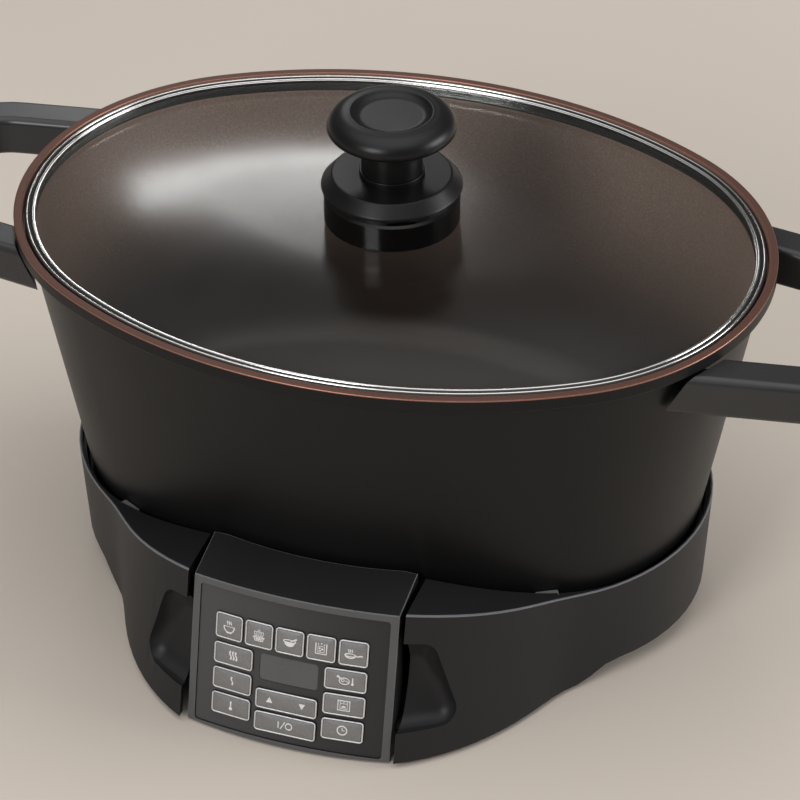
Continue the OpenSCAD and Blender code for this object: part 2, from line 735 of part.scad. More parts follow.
module base_housing() {
  angles = [for (j = [0 : steps - 1]) 360 * j / steps];
  color([0.1, 0.1, 0.11]) placed() difference() {
    union() {
      ring_solid([for (angle = angles) housing_profile(angle)]);
      intersection() {
        for (side = [0, 1]) mirror([side, 0, 0]) scoop(2.2);
        capped_solid([for (angle = angles) let(low = floor_top_z + 0.3, high = ridge_z(angle) - 1.5) [
          [base_reach(angle, rise_share(angle, low)) - shell_t / 2, low],
          [base_reach(angle, rise_share(angle, high)) - shell_t / 2, high]
        ]], floor_top_z + 0.3, ridge_front_z - 1.5);
      }
      for (angle = boss_angles) rotate(angle) translate([0, 0, floor_top_z]) {
        wall_at = min(inner_reach(angle, floor_top_z), inner_reach(angle, boss_top_z));
        boss_h = boss_top_z - floor_top_z;
        translate([boss_reach(angle), 0, 0]) cylinder(h = boss_h, r = boss_r, $fn = 24);
        translate([boss_reach(angle), -1.5, 0]) cube([wall_at + 1.5 - boss_reach(angle), 3, boss_h]);
      }
    }
    for (side = [0, 1]) mirror([side, 0, 0]) scoop(0);
    translate([-bay_half, -2 * front_reach, -1])
      cube([2 * bay_half, 2 * front_reach - bay_back_y, rim_z]);
    for (angle = boss_angles) rotate(angle) translate([boss_reach(angle), 0, floor_top_z - 1])
      cylinder(h = 12, r = screw_r + 0.35, $fn = 24);
    at_gland() translate([0, 0, -10]) cylinder(h = 20, r = gland_r + 0.4, $fn = 48);
  }
}

module well_liner() {
  profiles = [for (j = [0 : 59]) let(
    angle = 6 * j, z = ridge_z(angle) - 12,
    reach = min(opening_reach(angle) + 0.8, inner_reach(angle, z) - 0.7)
  ) [[liner_draw * reach, liner_z], [reach, z], [reach - liner_t, z],
     [liner_draw * reach - liner_t, liner_z + liner_t]]];
  tube_y = (side_r + tube_d) * cos(asin(tube_end_x / (side_r + tube_d))) - side_y;
  color([0.55, 0.55, 0.57]) placed() difference() {
    capped_solid(profiles, liner_z, liner_z + liner_t);
    for (x = [-1, 1], y = [-1, 1]) translate([x * post_x, y * post_y, liner_z - 1])
      cylinder(h = liner_t + 2, r = post_r + 0.4, $fn = 32);
    for (x = [-1, 1]) translate([x * tube_end_x, tube_y, liner_z - 1])
      cylinder(h = liner_t + 2, r = tube_r + 0.2, $fn = 32);
  }
}

module base_floor() {
  color([0.14, 0.14, 0.15]) placed() difference() {
    translate([0, 0, foot_h]) linear_extrude(floor_t) intersection() {
      polygon([for (j = [0 : steps - 1]) let(angle = 360 * j / steps, reach = floor_reach(angle))
        [reach * cos(angle), reach * sin(angle)]]);
      translate([-rim_half_x, -floor_front_y]) square([2 * rim_half_x, floor_front_y + rim_half_y]);
    }
    for (angle = boss_angles) rotate(angle) translate([boss_reach(angle), 0, foot_h - 1])
      cylinder(h = floor_t + 2, r = screw_r + 0.4);
  }
}

module rubber_feet() {
  color([0.06, 0.06, 0.06]) placed() for (x = [-1, 1], y = [-1, 1])
    translate([x * foot_x, y * foot_y, 0]) cylinder(h = foot_h, r1 = foot_r - 1, r2 = foot_r);
}

module floor_screws() {
  color([0.6, 0.6, 0.62]) placed() for (angle = boss_angles) rotate(angle)
    translate([boss_reach(angle), 0, foot_h]) {
      translate([0, 0, -1.6]) cylinder(h = 1.6, r = 3);
      translate([0, 0, -1]) cylinder(h = floor_t + 9, r = screw_r);
    }
}

module heating_plate() {
  color([0.62, 0.62, 0.64]) placed() difference() {
    ellipse_plate(plate_half_x, plate_half_y, plate_low_z, seat_z);
    translate([0, 0, plate_low_z - 1]) cylinder(h = plate_t + 2, r = sensor_r + 0.7);
  }
}

module heater_tube() {
  reach = side_r + tube_d;
  tube_y = reach * cos(asin(tube_end_x / reach)) - side_y;
  color([0.35, 0.33, 0.32]) placed() {
    translate([0, 0, plate_low_z - tube_r]) oval_sweep() translate([tube_d, 0]) circle(tube_r, $fn = 16);
    for (x = [-1, 1], y = [-1, 1]) translate([
      x * (end_x + (rim_end_r + tube_d) * cos(end_half_angle)),
      y * (rim_end_r + tube_d) * sin(end_half_angle),
      plate_low_z - tube_r
    ]) cube([10, 12, 2 * tube_r], center = true);
    for (x = [-1, 1]) translate([x * tube_end_x, tube_y, liner_z - 6])
      cylinder(h = plate_low_z - tube_r - liner_z + 6, r = tube_r - 0.6);
  }
}

module plate_posts() {
  color([0.5, 0.5, 0.52]) placed() for (x = [-1, 1], y = [-1, 1])
    translate([x * post_x, y * post_y, 0]) {
      translate([0, 0, floor_top_z]) cylinder(h = liner_z - floor_top_z, r = post_r + 2);
      translate([0, 0, liner_z - 1]) cylinder(h = plate_low_z - liner_z + 1, r = post_r);
    }
}

module sensor_cup() {
  color([0.72, 0.72, 0.74]) placed() translate([0, 0, seat_z - sensor_h]) difference() {
    cylinder(h = sensor_h, r = sensor_r);
    translate([0, 0, -1]) cylinder(h = 2.5, r = sensor_r - 1.5);
  }
}

module sensor_spring() {
  wire = 0.6;
  coil_r = sensor_r - 4;
  low = liner_z + liner_t + wire + 0.02;
  high = seat_z - sensor_h + 1.5 - wire - 0.02;
  turns = 3;
  rings = 24 * turns;
  sides = 6;
  points = concat(
    [for (i = [0 : rings], j = [0 : sides - 1]) let(
      t = 360 * turns * i / rings, a = -360 * j / sides, reach = coil_r + wire * cos(a)
    ) [reach * cos(t), reach * sin(t), mix(low, high, i / rings) + wire * sin(a)]],
    [[coil_r, 0, low], [coil_r, 0, high]]
  );
  color([0.6, 0.6, 0.62]) placed() polyhedron(points, capped_faces(rings + 1, sides), convexity = 10);
}

module thermal_fuse() {
  color([0.75, 0.72, 0.65]) placed() translate([fuse_x, 0, plate_low_z - 3]) rotate([90, 0, 0])
    translate([0, 0, -9]) cylinder(h = 18, r = 3);
}

module power_board() {
  color([0.12, 0.3, 0.18]) placed() translate([25, 28, floor_top_z]) {
    for (x = [-1, 1], y = [-1, 1]) translate([x * 38, y * 20, 0]) cylinder(h = 4.2, r = 3);
    translate([-45, -25, 4]) cube([90, 50, 1.6]);
    translate([-40, -14, 5]) cube([20, 15, 8]);
    translate([-5, -20, 5]) cube([16, 12, 7]);
    translate([24, -6, 5]) cylinder(h = 8, r = 6);
    translate([30, 10, 5]) cube([12, 8, 6]);
  }
}

module terminal_block() {
  color([0.85, 0.85, 0.82]) placed() translate([-64, 50, floor_top_z]) difference() {
    cube([34, 14, 11]);
    for (i = [0 : 2]) translate([6.5 + 10.5 * i, 7, 4]) cylinder(h = 8, r = 2.5);
    for (i = [0 : 2]) translate([6.5 + 10.5 * i, -1, 4]) rotate([-90, 0, 0]) cylinder(h = 16, r = 2);
  }
}

// The gland's axis stands square to the rear wall
module at_gland() {
  translate([0, base_reach(90, rise_share(90, gland_z)), gland_z])
    rotate([-90 - gland_lean, 0, 0]) children();
}

module cord_gland() {
  color([0.05, 0.05, 0.05]) placed() at_gland() difference() {
    union() {
      translate([0, 0, 0.3]) cylinder(h = 3.5, r1 = gland_r + 3, r2 = gland_r + 2);
      translate([0, 0, 0]) cylinder(h = 14, r1 = gland_r - 0.2, r2 = gland_bore_r + 1.4);
      translate([0, 0, -7]) cylinder(h = 7.5, r = gland_r);
      translate([0, 0, -8]) cylinder(h = 4.4, r = gland_r + 2);
    }
    translate([0, 0, -9]) cylinder(h = 24, r = gland_bore_r);
  }
}

module pot_locators() {
  top = deck_z(locator_angle) - 0.6;
  color([0.62, 0.62, 0.6]) placed() for (side = [0, 1]) mirror([side, 0, 0])
    translate([0, side_y, top - deck_t + 1]) rotate(-locator_turn)
      translate([side_r + wall_d(top) + locator_gap, -5, 0])
        cube([pot_gap - locator_gap + 2, 10, deck_t - 1]);
}

// Panel

module pod_side(half_w, wall, drop) {
  front = front_reach + 10;
  placed() rotate([90, 0, 90]) translate([0, 0, -half_w]) linear_extrude(2 * half_w) polygon([
    [-front, pod_low_z + wall], [-front, pod_front_z - (front - pod_front_y) * deck_slope - drop],
    [-pod_back_y + 4, pod_back_z + 4 * deck_slope - drop], [-pod_back_y + 4, pod_back_z - 10],
    [-pod_back_y - 8, pod_back_z - 10], [-pod_mid_y, pod_mid_z], [-pod_mid_y, floor_top_z],
    [-floor_front_y, floor_top_z], [-floor_front_y - (wall > 0 ? 0 : 1), pod_low_z + wall]
  ]);
}

// Section of the space over the frame's deck, which runs from the bowed front to the pot
function deck_section(u) = let(
  sag = panel_r - sqrt(panel_r * panel_r - u * u),
  back_sag = bow_r - sqrt(bow_r * bow_r - u * u),
  front_y = pod_front_y - sag * cos(panel_tilt), front_z = pod_front_z - 0.1 - sag * sin(panel_tilt),
  back_y = pod_back_y - back_sag, back_z = pod_back_z - 0.1 + back_sag * deck_slope,
  slope = (back_z - front_z) / (front_y - back_y)
) [
  [u, -front_y - 6, front_z - 6 * slope], [u, 6 - back_y, back_z + 6 * slope],
  [u, 6 - back_y, pod_back_z + 20], [u, -front_y - 6, pod_back_z + 20]
];

module over_deck() {
  half = panel_w / 2 + 1;
  rings = [for (i = [0 : 24]) deck_section(mix(-half, half, i / 24))];
  points = concat([for (ring = rings) each ring], [ring_middle(rings[0]), ring_middle(rings[24])]);
  placed() polyhedron(points, capped_faces(25, 4), convexity = 4);
}

module panel_frame() {
  half = panel_w / 2;
  color([0.12, 0.12, 0.13]) difference() {
    intersection() {
      pod_side(half, 0, 0);
      on_panel() translate([0, panel_r, -20]) cylinder(h = 140, r = panel_r, $fn = 180);
    }
    intersection() {
      union() {
        pod_side(half - pod_wall, pod_wall, pod_wall + 1.6);
        placed() translate([-half + pod_wall, -floor_front_y - 0.5, floor_top_z - 5])
          cube([panel_w - 2 * pod_wall, floor_front_y - pod_back_y - 3, pod_back_z - floor_top_z - 5]);
      }
      on_panel() translate([0, panel_r, -20]) cylinder(h = 140, r = panel_r - frame_depth, $fn = 180);
    }
    bowed_slab(half - frame_w, frame_h, panel_h - frame_h, -1, fascia_inset + fascia_t + 0.05);
    on_panel() translate([-window_half, -10, window_low])
      cube([2 * window_half, 40, window_high - window_low]);
    placed() translate([0, side_y, pod_back_z - 30]) cylinder(h = 60, r = bow_r, $fn = 180);
    over_deck();
  }
}

module key_hole(u, w, key_w, key_h) {
  on_face(u, w) rotate([90, 0, 0]) translate([0, 0, -8]) linear_extrude(12)
    round_rect(key_w + 2 * key_fit, key_h + 2 * key_fit, 1.6 + key_fit);
}

module panel_fascia() {
  color([0.33, 0.33, 0.34]) difference() {
    bowed_slab(
      panel_w / 2 - frame_w - 0.2, frame_h + 0.2, panel_h - frame_h - 0.2,
      fascia_inset, fascia_inset + fascia_t
    );
    for (i = [-2 : 2]) key_hole(i * top_pitch, top_row, top_key_w, top_key_h);
    for (side = [-1, 1], i = [0 : 2])
      key_hole(side * column_x, side_row + i * side_pitch, side_key_w, side_key_h);
    key_hole(0, power_row, mid_key_w, mid_key_h);
    key_hole(0, rocker_row, mid_key_w, mid_key_h);
    key_hole(0, display_row, display_w - 2 * key_fit + 0.2, display_h - 2 * key_fit + 0.2);
  }
}

module display_window() {
  color([0.5, 0.5, 0.52]) intersection() {
    bowed_slab(
      display_w, display_row - display_h, display_row + display_h,
      fascia_inset + 0.3, fascia_inset + fascia_t
    );
    on_face(0, display_row) rotate([90, 0, 0]) translate([0, 0, -8]) linear_extrude(12)
      round_rect(display_w, display_h, 1.5);
  }
}

module display_module() {
  front = fascia_inset + fascia_t + 0.2 + display_sag;
  color([0.1, 0.1, 0.1]) on_panel() translate([-display_w / 2, front, display_row - display_h / 2])
    cube([display_w, board_y - front, display_h]);
}

module control_board() {
  color([0.1, 0.28, 0.16]) on_panel() {
    translate([-board_half_w, board_y, board_low])
      cube([2 * board_half_w, board_t, window_high + 1.5 - board_low]);
    for (i = [-2 : 2]) key_dome(i * top_pitch, top_row, key_travel + dome_gap);
    for (side = [-1, 1], i = [0 : 2])
      key_dome(side * column_x, side_row + i * side_pitch, key_travel + dome_gap);
    key_dome(0, power_row, key_travel + dome_gap);
    for (side = [-1, 1]) key_dome(side * (mid_key_w / 2 - 4), rocker_row, rocker_gap);
    translate([-1.5, rocker_pivot_y + 0.35, rocker_row - 2]) cube([3, board_y - rocker_pivot_y, 4]);
  }
}

// Switch dome whose top lies a gap behind the key's back
module key_dome(u, w, gap) {
  front = key_back + key_flange_t + gap + panel_r - sqrt(panel_r * panel_r - pow(abs(u) + 2.2, 2));
  translate([u, 0, w]) rotate([-90, 0, 0]) translate([0, 0, front])
    cylinder(h = board_y + 0.5 - front, r = 2.2, $fn = 32);
}

module key_cap(u, w, key_w, key_h) {
  color([0.72, 0.72, 0.72]) on_face(u, w) key_shape(key_w, key_h);
}

// A key's cap with a bevelled face, and a tab above and below that holds it behind the fascia
module key_shape(key_w, key_h) {
  face = fascia_inset - key_proud;
  back = key_back + key_flange_t;
  rotate([90, 0, 0]) {
    translate([0, 0, -back]) linear_extrude(back - face - 0.5) round_rect(key_w, key_h, 1.6);
    translate([0, 0, -face - 0.5]) linear_extrude(0.5) round_rect(key_w - 1, key_h - 1, 1.1);
    translate([0, 0, -back]) linear_extrude(key_flange_t)
      square([tab_w, key_h + 2 * key_flange], center = true);
  }
}

module key_soup() { key_cap(-2 * top_pitch, top_row, top_key_w, top_key_h); }
module key_steam() { key_cap(-top_pitch, top_row, top_key_w, top_key_h); }
module key_stew() { key_cap(0, top_row, top_key_w, top_key_h); }
module key_water_bath() { key_cap(top_pitch, top_row, top_key_w, top_key_h); }
module key_fry() { key_cap(2 * top_pitch, top_row, top_key_w, top_key_h); }
module key_high() { key_cap(-column_x, side_row + 2 * side_pitch, side_key_w, side_key_h); }
module key_low() { key_cap(-column_x, side_row + side_pitch, side_key_w, side_key_h); }
module key_warm() { key_cap(-column_x, side_row, side_key_w, side_key_h); }
module key_roast() { key_cap(column_x, side_row + 2 * side_pitch, side_key_w, side_key_h); }
module key_bake() { key_cap(column_x, side_row + side_pitch, side_key_w, side_key_h); }
module key_timer() { key_cap(column_x, side_row, side_key_w, side_key_h); }
module key_power() { key_cap(0, power_row, mid_key_w, mid_key_h); }

// The rocker turns about a bar behind its middle
module key_up_down() {
  color([0.72, 0.72, 0.72]) on_face(0, rocker_row) {
    key_shape(mid_key_w, mid_key_h);
    translate([0, rocker_pivot_y - pivot_r, -mid_key_h / 2])
      cylinder(h = mid_key_h, r = pivot_r, $fn = 32);
  }
}

base_housing();
well_liner();
base_floor();
rubber_feet();
floor_screws();
heating_plate();
heater_tube();
plate_posts();
sensor_cup();
sensor_spring();
thermal_fuse();
power_board();
terminal_block();
cord_gland();
pot_locators();
panel_frame();
panel_fascia();
display_window();
display_module();
control_board();
key_soup();
key_steam();
key_stew();
key_water_bath();
key_fry();
key_high();
key_low();
key_warm();
key_roast();
key_bake();
key_timer();
key_power();
key_up_down();
pot_body();
handle_left();
handle_right();
handle_brackets();
handle_screws();
lid_band();
lid_glass();
knob_collar();
knob_guard();
knob_head();
knob_screw();
knob_washer();
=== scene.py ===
"""Dresses the oval multicooker's solids.

Adds finishes, soft edges, key caps with their symbols, and a studio stage.
"""

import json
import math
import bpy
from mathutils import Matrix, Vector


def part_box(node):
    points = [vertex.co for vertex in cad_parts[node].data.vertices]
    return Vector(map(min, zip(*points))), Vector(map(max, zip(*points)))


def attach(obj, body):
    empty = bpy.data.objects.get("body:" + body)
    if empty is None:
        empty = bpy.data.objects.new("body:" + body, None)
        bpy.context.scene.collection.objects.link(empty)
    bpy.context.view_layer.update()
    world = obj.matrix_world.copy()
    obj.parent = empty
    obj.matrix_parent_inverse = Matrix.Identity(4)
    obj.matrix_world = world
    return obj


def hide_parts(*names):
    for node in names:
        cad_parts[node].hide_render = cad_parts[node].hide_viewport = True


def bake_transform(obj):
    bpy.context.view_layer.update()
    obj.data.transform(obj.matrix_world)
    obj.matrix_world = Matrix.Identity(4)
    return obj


bl_info = {
    "name": "Oval Multicooker",
    "version": (1, 0, 0),
    "blender": (4, 5, 0),
    "location": "View3D > Sidebar > Multicooker",
    "description": "Finishes the multicooker's solids, draws the keys' symbols and sets up the studio",
    "category": "Object",
}

import bmesh
import bpy
from bpy.props import FloatProperty, FloatVectorProperty, PointerProperty
from mathutils import Matrix, Vector

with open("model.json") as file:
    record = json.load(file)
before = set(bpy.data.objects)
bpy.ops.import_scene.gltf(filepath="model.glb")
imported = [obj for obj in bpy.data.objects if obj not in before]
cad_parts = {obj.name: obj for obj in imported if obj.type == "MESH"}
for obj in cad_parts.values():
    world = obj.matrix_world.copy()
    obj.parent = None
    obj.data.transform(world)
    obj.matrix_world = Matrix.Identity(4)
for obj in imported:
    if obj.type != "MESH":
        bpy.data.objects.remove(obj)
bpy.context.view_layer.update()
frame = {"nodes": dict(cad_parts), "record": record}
MM = 0.001

# The pot's axis and rim, in the frame
POT_LOW, POT_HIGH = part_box("pot_body")
AXIS_Y = (POT_LOW.y + POT_HIGH.y) / 2
RIM_Z = POT_HIGH.z

# The rim's outline is an oval of four arcs: two round ends and two long sides
RIM_HALF_X, RIM_HALF_Y, RIM_END = 0.170, 0.128, 0.112
END_X = RIM_HALF_X - RIM_END
SIDE_R = (END_X**2 + RIM_HALF_Y**2 - RIM_END**2) / (2 * (RIM_HALF_Y - RIM_END))
SIDE_Y = SIDE_R - RIM_HALF_Y
END_ANGLE = math.atan2(SIDE_Y, END_X)

# The panel's face leans back and bows outwards
PANEL_TILT = math.radians(12.7)
PANEL_BOW = 0.210
PANEL_FOOT_Y = AXIS_Y - 0.1493

# Outlines on the panel's face: half width, lower and upper edge in millimetres, corner radius
FRAME_OPENING = (43.25, 3.2, 70.0, 0.0016)
FASCIA_OUTLINE = (43.05, 3.4, 69.8, 0.0014)

# The frame's outer edges, whose bevels are painted lighter as a highlight: how high its top and how far
# out its sides begin
FRAME_TOP_Z, FRAME_SIDE_X = 0.066, 0.0465
FRAME_EDGE_WIDTH = 0.0004

# The housing's ridge: its height beside the panel, its fall, the angles over which it falls, and how far
# above and below it the painted highlight reaches
RIDGE_Z, RIDGE_FALL = 0.073, 0.0165
RIDGE_START, RIDGE_SPAN = 12, 52
RIDGE_HIGHLIGHT_ABOVE, RIDGE_HIGHLIGHT_BELOW = 0.0001, 0.0008

# How far the copper-brown rim reaches down the lip, and the outer coat up from the pot's underside
RIM_DEPTH, FOOT_HEIGHT = 0.0013, 0.0045

# The lid band's parts painted dark as shade, in millimetres from the rim's outline: outer edge, groove
# between the beads
BAND_EDGE_SHADE = -5.45
BAND_GROOVE_SHADE = (-8.0, -6.6)

# The steam vent's notch: radius, depth, turn about the pot's axis, height and reach
VENT_RADIUS, VENT_DEPTH = 0.008, 0.008
VENT_TURN = math.radians(27)
VENT_Z, VENT_REACH = 0.1931, 0.0309

# Each key's place across and up the panel's face, and its width and height, in millimetres
TOP_KEY = (13.0, 12.2)
SIDE_KEY = (18.7, 10.3)
WIDE_KEY = (28.2, 9.5)
KEYS = {
    "key_soup": (-28.4, 52.7, TOP_KEY),
    "key_steam": (-14.2, 52.7, TOP_KEY),
    "key_stew": (0.0, 52.7, TOP_KEY),
    "key_water_bath": (14.2, 52.7, TOP_KEY),
    "key_fry": (28.4, 52.7, TOP_KEY),
    "key_high": (-25.7, 39.3, SIDE_KEY),
    "key_low": (-25.7, 27.05, SIDE_KEY),
    "key_warm": (-25.7, 14.8, SIDE_KEY),
    "key_roast": (25.7, 39.3, SIDE_KEY),
    "key_bake": (25.7, 27.05, SIDE_KEY),
    "key_timer": (25.7, 14.8, SIDE_KEY),
    "key_power": (0.0, 11.7, WIDE_KEY),
    "key_up_down": (0.0, 22.8, WIDE_KEY),
}

# What all keys share, in millimetres: corner radius, height of edge and back over the panel's face,
# depth of the edge that shows, width of the groove inside the rim, crown of the face
KEY_CORNER = 1.6
KEY_TOP, KEY_BACK = 0.05, -3.7
KEY_EDGE = 0.3
KEY_GROOVE = 0.2
KEY_CROWN = 0.1

# Symbols: a stroke's half width as a share of its weight, and the lift over the key's face in millimetres
STROKE_HALF = 0.58
INK_LIFT = 0.06

# Mesh clean-up: points this close are one, edges this short go, faces this flat to each other join
SAME_POINT = 0.000002
SHORT_EDGE = 0.00001
FLAT_ANGLE = math.radians(0.3)

# Steps of a full turn, of one end of the oval and of one long side
ROUND_STEPS = 128
END_STEPS, SIDE_STEPS = 56, 40

# Stage: floor, sky from its lower part to its top, and soft boxes (place, width, height, power)
FLOOR_SIZE = 12
FLOOR_TONES = ((0.6, 0.53, 0.46), (0.645, 0.575, 0.505))
SKY_RISE = (0.62, 1.0)
SKY_TONES = ((0.12, 0.12, 0.12), (1.6, 1.6, 1.6))
SOFT_BOXES = {
    "back": ((-0.7, 1.5, 1.125), 0.44, 0.17, 1.6),
    "front": ((-0.6, -2.2, 1.5), 0.9, 0.9, 26),
    "right": ((1.9, 0.5, 0.8), 1.0, 0.8, 20),
}
LAMP_AIM = Vector((0, AXIS_Y, 0.12))

# Camera: focal length and sensor in millimetres, shift, axes and place
CAMERA_LENS, CAMERA_SENSOR = 155.185, 36
CAMERA_SHIFT = (-0.0040, -0.0007)
CAMERA_RIGHT = (0.94738779, 0.32008037, -0.00222342)
CAMERA_UP = (-0.18581742, 0.55561992, 0.81040631)
CAMERA_BACK = (0.26063053, -0.76735589, 0.58586403)
CAMERA_PLACE = (0.411881, AXIS_Y - 1.198296, 1.001340)
CAMERA_REACH = 50

BODY_OF_NODE = {
    node: body
    for body, nodes in frame["record"]["behaviour"]["bodies"].items()
    for node in nodes
}
SLOT_OF_NODE = {row["node"]: row["material_slot"] for row in frame["record"]["subparts"]}


# Finishes


class Term:
    """A value in a finish; arithmetic on it adds Math nodes."""

    def __init__(self, finish, socket):
        self.finish = finish
        self.socket = socket

    def math(self, operation, *values):
        made = self.finish.node("ShaderNodeMath", {"operation": operation}, dict(enumerate(values)))
        return made[0]

    def __add__(self, other):
        return self.math("ADD", self, other)

    __radd__ = __add__

    def __sub__(self, other):
        return self.math("SUBTRACT", self, other)

    def __rsub__(self, other):
        return self.math("SUBTRACT", other, self)

    def __mul__(self, other):
        return self.math("MULTIPLY", self, other)

    __rmul__ = __mul__

    def __pow__(self, other):
        return self.math("POWER", self, other)

    def sine(self):
        return self.math("SINE", self)

    def step(self, low, high):
        """0 below low, 1 above high, smooth between."""
        values = {"Value": self, "From Min": low, "From Max": high}
        return self.finish.node("ShaderNodeMapRange", {"interpolation_type": "SMOOTHSTEP"}, values)[0]


class Made:
    """A node that was made; its outputs are terms."""

    def __init__(self, finish, node):
        self.finish = finish
        self.node = node

    def __getitem__(self, key):
        return Term(self.finish, self.node.outputs[key])


class Finish:
    """A node tree that is built from expressions."""

    def __init__(self, tree):
        self.tree = tree
        self.tree.nodes.clear()

    @classmethod
    def of_material(cls, name):
        material = bpy.data.materials.new(name)
        material.use_nodes = True
        finish = cls(material.node_tree)
        finish.material = material
        finish.place = finish.node("ShaderNodeTexCoord")["Object"]
        return finish

    def node(self, kind, settings=None, values=None):
        made = self.tree.nodes.new(kind)
        for key, value in (settings or {}).items():
            setattr(made, key, value)
        for key, value in (values or {}).items():
            self.feed(made.inputs[key], value)
        return Made(self, made)

    def feed(self, socket, value):
        if isinstance(value, Term):
            self.tree.links.new(value.socket, socket)
        elif socket.type == "RGBA":
            socket.default_value = (*value[:3], 1)
        else:
            socket.default_value = value

    def noise(self, size, detail=2.0, place=None):
        """Soft noise whose lumps are about this size, in metres."""
        values = {"Vector": place or self.place, "Scale": 1 / size, "Detail": detail}
        return self.node("ShaderNodeTexNoise", None, values)["Fac"]

    def stretched(self, x, y, z):
        """Object coordinates scaled along each axis."""
        values = {"Vector": self.place, "Scale": (x, y, z)}
        return self.node("ShaderNodeMapping", None, values)["Vector"]

    def split(self, place=None):
        return self.node("ShaderNodeSeparateXYZ", None, {"Vector": place or self.place})

    def blend(self, share, low, high):
        """A colour between two colours."""
        made = self.node("ShaderNodeMix", {"data_type": "RGBA"})
        inputs = made.node.inputs
        colours = [socket for socket in inputs if socket.type == "RGBA"]
        for socket, value in zip((inputs["Factor"], *colours), (share, low, high)):
            self.feed(socket, value)
        return Term(self, next(o for o in made.node.outputs if o.type == "RGBA"))

    def bump(self, height, depth):
        """A normal bumped by a height of 0 to 1, this deep in metres."""
        return self.node("ShaderNodeBump", None, {"Height": height, "Distance": depth})["Normal"]

    def surface(self, **values):
        """The shader; the names are its sockets' names with underscores."""
        sockets = {key.replace("_", " "): value for key, value in values.items()}
        return self.node("ShaderNodeBsdfPrincipled", None, sockets)["BSDF"]

    def done(self, shader):
        self.node("ShaderNodeOutputMaterial", None, {"Surface": shader})
        return self.material


def tint(colour, share):
    return tuple(min(channel * share, 1.0) for channel in colour)


def paint_shade_along(f, base, colour, painted_shade):
    """Painted shade: a colour that fades into a share of another along an axis, between two places in
    metres.
    """
    axis, low, high, share = painted_shade
    return f.blend(f.split()[axis].step(low, high), base, tint(colour, share))


def moulding(name, colour, roughness, grain=0.0005, depth=0.00002, specular=0.5, painted_shade=None):
    """Moulded plastic with a fine spark-eroded grain and slightly uneven gloss."""
    f = Finish.of_material(name)
    cloud = f.noise(0.03, 3.0)
    grains = f.noise(grain, 3.0)
    base = f.blend(cloud * 0.5 + grains * 0.5, tint(colour, 0.75), tint(colour, 1.25))
    if painted_shade:
        base = paint_shade_along(f, base, colour, painted_shade)
    gloss = roughness + (cloud - 0.5) * 0.08 + (grains - 0.5) * 0.12
    shader = f.surface(
        Base_Color=base, Roughness=gloss, Specular_IOR_Level=specular, Normal=f.bump(grains, depth)
    )
    return f.done(shader)


def coated(name, colour, roughness, metallic, speck, depth=0.00002, specular=0.5, painted_shade=None):
    """Non-stick coat on cast metal: fine specks and a satin gloss."""
    f = Finish.of_material(name)
    cloud = f.noise(0.05, 2.0)
    specks = f.noise(speck, 4.0)
    base = f.blend(specks.step(0.35, 0.75) * 0.7 + cloud * 0.3, tint(colour, 0.8), tint(colour, 1.25))
    if painted_shade:
        base = paint_shade_along(f, base, colour, painted_shade)
    gloss = roughness + (specks - 0.5) * 0.12 + (cloud - 0.5) * 0.08
    shader = f.surface(
        Base_Color=base, Roughness=gloss, Metallic=metallic, Specular_IOR_Level=specular,
        Normal=f.bump(specks, depth),
    )
    return f.done(shader)


def metal(name, colour, roughness, brushed=(1, 1, 1), depth=0.000004):
    """Bare metal with fine marks along one direction."""
    f = Finish.of_material(name)
    marks = f.noise(0.0006, 3.0, f.stretched(*brushed))
    cloud = f.noise(0.02, 2.0)
    base = f.blend(cloud, tint(colour, 0.9), tint(colour, 1.08))
    gloss = roughness + (marks - 0.5) * 0.12
    normal = f.bump(marks, depth)
    return f.done(f.surface(Base_Color=base, Roughness=gloss, Metallic=1.0, Normal=normal))


def turned_metal(name, colour, roughness):
    """Metal faced on a lathe: fine rings about the pot's axis."""
    f = Finish.of_material(name)
    values = {"Vector": f.place, "Location": (0, -AXIS_Y, 0)}
    part = f.split(f.node("ShaderNodeMapping", None, values)["Vector"])
    reach = (part["X"] * part["X"] + part["Y"] * part["Y"]) ** 0.5
    rings = (reach * 5200.0).sine()
    cloud = f.noise(0.02, 2.0)
    base = f.blend(cloud, tint(colour, 0.88), tint(colour, 1.05))
    gloss = roughness + rings * 0.06
    normal = f.bump(rings, 0.000004)
    return f.done(f.surface(Base_Color=base, Roughness=gloss, Metallic=1.0, Normal=normal))


def clear_glass(name, colour):
    """Tempered sheet: clear head on, bright at a glance, with a trace of wiping marks."""
    f = Finish.of_material(name)
    wipes = f.noise(0.05, 3.0, f.stretched(1.0, 0.35, 1.0))
    slant = f.node("ShaderNodeLayerWeight", None, {"Blend": 0.5})["Facing"]
    through = f.node("ShaderNodeBsdfTransparent", None, {"Color": colour})["BSDF"]
    shine = f.surface(Base_Color=(0.9, 0.9, 0.9), Metallic=1.0, Roughness=0.11 + wipes * 0.08)
    share = 0.035 + slant**5 * 0.9 + wipes * 0.01
    return f.done(f.node("ShaderNodeMixShader", None, {0: share, 1: through, 2: shine})[0])


def ink(name, colour):
    """Screen-printed ink."""
    f = Finish.of_material(name)
    cloud = f.noise(0.0008, 2.0)
    base = f.blend(cloud, tint(colour, 0.92), colour)
    return f.done(f.surface(Base_Color=base, Roughness=0.5 + (cloud - 0.5) * 0.1))


